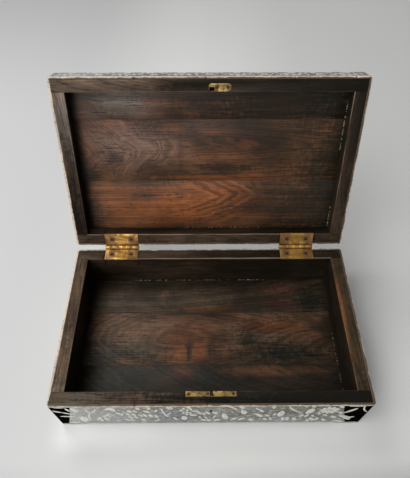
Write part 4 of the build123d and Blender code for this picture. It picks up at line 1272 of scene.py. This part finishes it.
class SLOPE_OT_edging(bpy.types.Operator):
    """Make the worn cream edging of both rims from short strips"""

    bl_idname = "slope.edging"
    bl_label = "Edging"

    def spans(self):
        """Return the ends of the strips as distances round the outline, with the hinges left free."""
        random = np.random.default_rng(4)
        whole = outline_length(HALF_X, HALF_Y, CORNER)
        back_left = 3 * (HALF_X - CORNER) + 2 * (HALF_Y - CORNER) + math.pi * CORNER
        gaps = sorted((back_left - high - STRIP_GAP, back_left - low + STRIP_GAP) for low, high in HINGE_SPANS)
        spans = []
        for start, end in ((gaps[0][1], gaps[1][0]), (gaps[1][1], whole + gaps[0][0])):
            count = max(1, round((end - start) / STRIP_LENGTH))
            cuts = np.linspace(start, end, count + 1)
            cuts[1:-1] += random.uniform(-0.015, 0.015, count - 1)
            spans += [(near + STRIP_GAP, far - STRIP_GAP) for near, far in zip(cuts[:-1], cuts[1:])]
        return np.array(spans)

    def strips(self, spans, rim, seed, flip):
        """Return strips between distances round the outline, as tubes of a rounded section with a worn outer arris."""
        half = STRIP / 2
        turn = np.linspace(0, outline_length(half, half, STRIP_ARRIS), STRIP_AROUND, endpoint=False)
        section, outward = rounded_outline(half, half, STRIP_ARRIS, turn)
        distance = spans[:, :1] + (spans[:, 1:] - spans[:, :1]) * np.linspace(0, 1, STRIP_RINGS)[None]
        points, normals = rounded_outline(HALF_X, HALF_Y, CORNER, distance)
        wear = np.clip(ripple(distance / MM / 9, seed), 0, 1) ** 1.5 * 0.3 * MM
        uneven = ripple(distance / MM / 30, seed + 1) * 0.06 * MM
        worn = wear[..., None] * np.clip(outward[:, 0] + outward[:, 1] - 0.6, 0, 1)
        out = half + section[:, 0] - STRIP - worn - np.clip(uneven, 0, 1)[..., None] * (section[:, 0] > 0)
        up = section[:, 1] - half - worn - np.clip(-uneven, 0, 1)[..., None] * (section[:, 1] > 0)
        grid = np.empty((*distance.shape, STRIP_AROUND, 3))
        grid[..., 0] = points[..., None, 0] + normals[..., None, 0] * out
        grid[..., 1] = MIDDLE_Y + points[..., None, 1] + normals[..., None, 1] * out
        grid[..., 2] = rim - up if flip else rim + up
        if flip:
            grid = opened(grid)
        # how far the stain reaches in on each side: dirt, and towards the right partly painted shade
        to_front, to_back, to_right, usual = (0.3, 0.35, 0.3, 0.3) if flip else (0.6, 0.05, 0.5, 0.3)
        along, across = normals[..., 0], normals[..., 1]
        soil = usual + to_front * np.maximum(-across, 0) + to_back * np.maximum(across, 0) + to_right * along
        if not flip:
            near_front = np.clip(1 - (points[..., 1] + HALF_Y) / (40 * MM), 0, 1)
            soil += 0.7 * np.maximum(-along, 0) * near_front
        tint = np.random.default_rng(seed).uniform(0, 0.8, len(spans))
        from_inner = 1 + (section[:, 0] - section[:, 1]) / STRIP
        return grid, {"across": from_inner[None, None], "tint": tint[:, None, None], "soil": soil[..., None]}

    def execute(self, context):
        material = edging_material()
        spans = self.spans()
        for name, rim, seed, flip in (("base", RIM_Z, 21, False), ("lid", LID_RIM_Z, 22, True)):
            grid, attributes = self.strips(spans, rim, seed, flip)
            piece = make_tubes(f"{name}_edging", grid, name, attributes)
            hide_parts(*[f"{name}_{side}_edging" for side in ("front", "back", "left", "right")])
            give(piece, material)
        return {"FINISHED"}


class SLOPE_OT_facings(bpy.types.Operator):
    """Sink the ground of the facings below the inlay and polish the black panels and feet"""

    bl_idname = "slope.facings"
    bl_label = "Facings"

    def execute(self, context):
        relief = context.scene.slope_inlay.relief
        ground, black = ground_material(), black_material()
        plan = [1 - relief / HALF_X, 1 - relief / HALF_Y]

        def sunk(points):
            """Return base points drawn in towards the middle by the relief at the outer faces."""
            centre = np.array([0.0, MIDDLE_Y, 0.0])
            return centre + (points - centre) * np.array([*plan, 1.0])

        def sunk_lid(points):
            """Return lid points drawn in likewise, and its top drawn down."""
            centre = np.array([0.0, MIDDLE_Y, LID_RIM_Z])
            factors = np.array([*plan, 1 - relief / (LID_TOP_Z - LID_RIM_Z)])
            return opened(centre + (turned(points, OPEN_ANGLE) - centre) * factors)

        for name in sorted(frame["nodes"]):
            if name.startswith("base_") and name.endswith("_veneer"):
                give(softened_copy(name, VENEER_ARRIS, "base", sunk), ground)
            elif "_panel_on_" in name:
                give(softened_copy(name, VENEER_ARRIS, "base", sunk), black)
            elif name.startswith("foot_"):
                give(softened_copy(name, FOOT_ARRIS, "base", sunk), ground)
            elif name.startswith("lid_") and name.endswith(("_facing", "_veneer")):
                give(softened_copy(name, VENEER_ARRIS, "lid", sunk_lid), ground)
        return {"FINISHED"}


class SLOPE_OT_inlay(bpy.types.Operator):
    """Lay the pale leaves, flowers and scrolls into every facing"""

    bl_idname = "slope.inlay"
    bl_label = "Inlay"

    def lay(self, name, body, parts, surface, material):
        """Lay lenses into a surface."""
        lift = bpy.context.scene.slope_inlay.relief
        grid, attributes = lens_grid(parts, lambda x, up, rise: surface(x, up, rise - lift), lift)
        give(make_tubes(name, grid, body, attributes), material)

    def execute(self, context):
        material = inlay_material()
        half_x, half_y = HALF_X / MM, HALF_Y / MM
        low, high = 8.0, 64.0
        over = base_sides()
        lenses = {
            "front": front_spray() + corner_spray(-1, False, half_x) + corner_spray(1, True, half_x),
            "back": scroll(-half_x + 37, half_x - 28, low, high, 8)
            + corner_spray(-1, True, half_x) + corner_spray(1, False, half_x),
            "left": scroll(-half_y + 37, half_y - 37, low, high, 9)
            + corner_spray(-1, True, half_y) + corner_spray(1, False, half_y),
            "right": scroll(-half_y + 37, half_y - 37, low, high, 10)
            + corner_spray(-1, False, half_y) + corner_spray(1, True, half_y),
        }
        for name, parts in lenses.items():
            self.lay(f"base_{name}_inlay", "base", parts, over[name], material)
        over = lid_sides()
        top = (LID_TOP_Z - LID_RIM_Z) / MM
        halves = {"front": half_x, "back": half_x, "left": half_y, "right": half_y}
        for seed, (name, half) in enumerate(halves.items(), 11):
            parts = scroll(-half + 9, half - 9, 4.5, top - 2, seed, 30)
            self.lay(f"lid_{name}_inlay", "lid", parts, over[name], material)
        self.lay("lid_top_inlay", "lid", top_spray(), lid_top, material)
        return {"FINISHED"}


class SLOPE_OT_brass(bpy.types.Operator):
    """Age the hinges, lock and strike"""

    bl_idname = "slope.brass"
    bl_label = "Brass"

    def execute(self, context):
        metal = context.scene.slope_metal
        nodes = frame["nodes"]
        screws = [
            (sum(span) / 2 + offset, BACK_Y - LEAF_SCREW_Y)
            for span in HINGE_SPANS for offset in (-LEAF_SCREW_X, LEAF_SCREW_X)
        ]
        leaf_finish = (metal.brass, metal.tarnish, 0.7, 120.0, 0.85, 0.34, screws)
        brass = metal_material("old_brass", srgb(176, 150, 90), metal.tarnish, 1.0, 150.0, 0.8, 0.4)
        lock = metal_material("lock_brass", srgb(150, 126, 70), srgb(76, 52, 26), 1.0, 150.0, 0.8, 0.42, slot=SLOT_X)
        base_leaf = metal_material("base_leaf_brass", *leaf_finish)
        lid_leaf = metal_material("lid_leaf_brass", *leaf_finish, True)
        bright = metal_material("bolt_steel", metal.bright, metal.tarnish, 0.5, 200.0, 0.9, 0.35)
        dark = metal_material("bolt_iron", srgb(44, 38, 32), srgb(22, 16, 12), 0.8, 200.0, 0.6, 0.6)
        for side in ("left", "right"):
            give(softened_copy(f"hinge_{side}_base_leaf", VENEER_ARRIS, "base"), base_leaf)
            give(softened_copy(f"hinge_{side}_lid_leaf", VENEER_ARRIS, "lid"), lid_leaf)
            give(nodes[f"hinge_{side}_pin"], brass)
        give(softened_copy("lock_plate", PLATE_ARRIS, "base"), lock)
        give(softened_copy("strike_plate", PLATE_ARRIS, "lid"), brass)
        for name, material in {"cap": brass, "bolt": dark, "spring": bright, "key_pin": bright}.items():
            give(nodes[f"lock_{name}"], material)
        return {"FINISHED"}


class SLOPE_OT_screws(bpy.types.Operator):
    """Brown the screws"""

    bl_idname = "slope.screws"
    bl_label = "Screws"

    def execute(self, context):
        metal = context.scene.slope_metal
        steel = metal_material("browned_steel", metal.steel, srgb(38, 26, 18), 0.7, 320.0, 0.6, 0.45)
        for name in ("hinge_base_screws", "hinge_lid_screws", "lock_screws", "strike_screws"):
            give(frame["nodes"][name], steel)
        return {"FINISHED"}


class SLOPE_OT_joint_crumbs(bpy.types.Operator):
    """Lay crumbs of old pale glue and dust along the inner joints"""

    bl_idname = "slope.joint_crumbs"
    bl_label = "Joint crumbs"

    def crumbs(self, start, end, count, size, seed):
        """Return lumps along a line: short tubes whose radius rises and falls as a sine, each of its own size."""
        random = np.random.default_rng(seed)
        start, end = np.array(start), np.array(end)
        way = np.sort(random.uniform(0, 1, count))[:, None, None, None]
        middle = start + (end - start) * way
        along = (end - start) / np.linalg.norm(end - start)
        radius = random.uniform(0.4, 1.0, (count, 1, 1, 1)) * size * MM
        reach = radius * random.uniform(0.8, 1.7, (count, 1, 1, 1))
        place = np.linspace(-0.94, 0.94, CRUMB_RINGS)[None, :, None, None]
        girth = radius * np.sqrt(1 - place**2)
        angle = np.linspace(0, 2 * math.pi, CRUMB_AROUND, endpoint=False)[None, None, :, None]
        side = np.cross(along, (0.0, 0.3, 1.0))
        side /= np.linalg.norm(side)
        other = np.cross(along, side)
        lumpy = 1 + 0.25 * np.sin(angle * 2 + random.uniform(0, 6, (count, 1, 1, 1)))
        return middle + along * (reach * place) + (side * np.cos(angle) + other * np.sin(angle)) * girth * lumpy

    def execute(self, context):
        material, shader, place = new_material("old_glue")
        cloud = noise(place, 900.0)
        tone = mixed(cloud, PALE_GLUE, context.scene.slope_inlay.stained)
        finish(shader, {"Base Color": tone, "Roughness": cloud.swing(0.5, 0.8)})
        wall, back = INNER_X - GLUE_IN, INNER_BACK - GLUE_IN
        floor, ceiling = FLOOR_Z + GLUE_UP, LID_INNER_Z - GLUE_UP
        base = [
            self.crumbs((-0.115, back, floor), (-0.06, back, floor), 26, 0.6, 1),
            self.crumbs((-0.05, back, floor), (0.03, back, floor), 20, 0.55, 2),
            self.crumbs((0.04, back, floor), (0.08, back, floor), 18, 0.65, 3),
            self.crumbs((wall, -0.13, floor), (wall, -0.05, floor), 40, 0.4, 7),
        ]
        lid = [
            self.crumbs((wall, FRONT_Y + 0.026, ceiling), (wall, FRONT_Y + 0.09, ceiling), 46, 0.65, 4),
            self.crumbs((wall, FRONT_Y + 0.168, ceiling), (wall, FRONT_Y + 0.197, ceiling), 24, 0.6, 5),
            self.crumbs((-0.035, back, ceiling), (0.07, back, ceiling), 26, 0.55, 6),
        ]
        give(make_tubes("base_joint_crumbs", np.concatenate(base), "base"), material)
        give(make_tubes("lid_joint_crumbs", opened(np.concatenate(lid)), "lid"), material)
        return {"FINISHED"}


class SLOPE_OT_stage(bpy.types.Operator):
    """Set the pale table, the lights and the camera"""

    bl_idname = "slope.stage"
    bl_label = "Stage"

    def table(self, stage):
        """Lay the table, with the painted shade and the painted glow that lie round the box in its colour."""
        corners = [(x * TABLE_HALF, y * TABLE_HALF, -TABLE_DROP) for x, y in ((-1, -1), (1, -1), (1, 1), (-1, 1))]
        mesh = bpy.data.meshes.new("table")
        mesh.from_pydata(corners, [], [(0, 1, 2, 3)])
        table = bpy.data.objects.new("table", mesh)
        bpy.context.scene.collection.objects.link(table)
        material, shader, place = new_material("pale_table")
        x, y = place.axis(0), place.axis(1)
        # painted shade: darker at the strongly lit left, and a little darker at the right beside the box's shadow
        tone = mixed(x.between(-0.3, 0.0), stage.left, stage.floor)
        tone = tone.tinted(stage.right, x.between(0.05, 0.25))
        # far behind the box, painted shade at the left and painted light at the right
        behind = y.between(0.4, 0.95)
        tone = tone.tinted(TABLE_SHADE_BLACK, behind * x.between(0.0, 0.3, 0.12, 0.0))
        tone = tone.tinted(stage.floor, behind * x.between(0.15, 0.5, 0.0, 0.5))
        # a painted glow close before the box
        before = y.between(-0.205, -0.175) * y.between(-0.15, -0.1, 1.0, 0.0)
        before *= x.between(-0.205, -0.155)
        before *= x.between(0.15, 0.25, 1.0, 0.0)
        tone = tone.tinted(srgb(252, 252, 251), before * x.between(-0.12, 0.0, 0.95, 0.6))
        # and painted shade on the stretch before that
        painted_shade_before = y.between(-0.2, -0.23) * x.between(-0.16, 0.08, 0.06, 0.25) * y.between(-0.4, -0.25)
        tone = tone.tinted(TABLE_SHADE_BLACK, painted_shade_before)
        finish(shader, {"Base Color": tone, "Roughness": 0.9, "Specular IOR Level": 0.1})
        mesh.materials.append(material)

    def studio(self, stage):
        """Light the object evenly from all round, with a pale grey behind it and in its gloss."""
        world = bpy.data.worlds.new("studio")
        bpy.context.scene.world = world
        world.use_nodes = True
        sky = world.node_tree
        sky.nodes.clear()
        path = node(sky, "ShaderNodeLightPath").outputs
        camera, glossy, through = [Value(path[f"Is {kind} Ray"]) for kind in ("Camera", "Glossy", "Transmission")]
        seen = maths("MAXIMUM", camera, maths("MAXIMUM", glossy, through))
        plain = node(sky, "ShaderNodeBackground", {"Color": srgb(255, 255, 255), "Strength": stage.fill})
        pale = node(sky, "ShaderNodeBackground", {"Color": srgb(208, 208, 206), "Strength": 0.7})
        both = result("ShaderNodeMixShader", {0: seen, 1: Value(plain.outputs[0]), 2: Value(pale.outputs[0])})
        node(sky, "ShaderNodeOutputWorld", {0: both})

    def light(self, name, place, target, size, power):
        """Add an area light that faces a target."""
        data = bpy.data.lights.new(name, "AREA")
        data.shape = "RECTANGLE"
        data.size, data.size_y = size
        data.energy = power
        lamp = bpy.data.objects.new(name, data)
        lamp.location = place
        lamp.rotation_euler = (Vector(target) - Vector(place)).to_track_quat("-Z", "Y").to_euler()
        bpy.context.scene.collection.objects.link(lamp)

    def camera(self):
        """Stand the camera before the open box."""
        data = bpy.data.cameras.new("camera")
        data.sensor_width = CAMERA_SENSOR
        data.lens = CAMERA_LENS
        data.shift_y = CAMERA_SHIFT
        data.clip_start = 0.05
        camera = bpy.data.objects.new("camera", data)
        turn = Matrix.Rotation(-CAMERA_YAW, 3, "Z") @ Matrix.Rotation(math.pi / 2 - CAMERA_PITCH, 3, "X")
        camera.rotation_euler = (turn @ Matrix.Rotation(CAMERA_ROLL, 3, "Z")).to_euler()
        camera.location = PIVOT + np.array(CAMERA_PLACE)
        bpy.context.scene.collection.objects.link(camera)
        bpy.context.scene.camera = camera

    def execute(self, context):
        stage = context.scene.slope_stage
        self.table(stage)
        self.studio(stage)
        lights = {  # place, target and size
            "key": ((-1.0, -0.6, 1.5), (0.0, 0.0, 0.05), (1.2, 1.2)),
            "sheen": ((-0.62, 0.62, 1.3), (-0.1, 0.0, 0.0), (0.7, 0.7)),
            "front": ((-0.72, -1.45, 0.62), (-0.05, 0.0, 0.15), (0.7, 0.6)),
        }
        for name, row in lights.items():
            self.light(name, *row, getattr(stage, name))
        self.camera()
        context.scene.view_settings.view_transform = "Standard"
        return {"FINISHED"}


OPERATORS = (
    SLOPE_OT_base_boards,
    SLOPE_OT_lid_boards,
    SLOPE_OT_edging,
    SLOPE_OT_facings,
    SLOPE_OT_inlay,
    SLOPE_OT_brass,
    SLOPE_OT_screws,
    SLOPE_OT_joint_crumbs,
    SLOPE_OT_stage,
)


class SLOPE_PT_panel(bpy.types.Panel):
    """Lists the pieces and their settings"""

    bl_label = "Writing Slope"
    bl_idname = "SLOPE_PT_panel"
    bl_space_type = "VIEW_3D"
    bl_region_type = "UI"
    bl_category = "Slope"

    def draw(self, context):
        for kind in OPERATORS:
            self.layout.operator(kind.bl_idname)
        for label in SETTINGS:
            group = getattr(context.scene, label)
            box = self.layout.box()
            for setting in type(group).__annotations__:
                box.prop(group, setting)


SETTINGS = {
    "slope_wood": WoodSettings,
    "slope_inlay": InlaySettings,
    "slope_metal": MetalSettings,
    "slope_stage": StageSettings,
}
CLASSES = (*SETTINGS.values(), *OPERATORS, SLOPE_PT_panel)


def register():
    """Register the classes and put the settings on the scene."""
    for kind in CLASSES:
        bpy.utils.register_class(kind)
    for label, group in SETTINGS.items():
        setattr(bpy.types.Scene, label, PointerProperty(type=group))


def unregister():
    """Take the settings off the scene and unregister the classes."""
    for label in SETTINGS:
        delattr(bpy.types.Scene, label)
    for kind in reversed(CLASSES):
        bpy.utils.unregister_class(kind)


def main():
    """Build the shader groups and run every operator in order."""
    register()
    for row in GROUPS:
        build_group(*row)
    for kind in OPERATORS:
        family, action = kind.bl_idname.split(".")
        getattr(getattr(bpy.ops, family), action)()


if __name__ == "__main__":
    main()
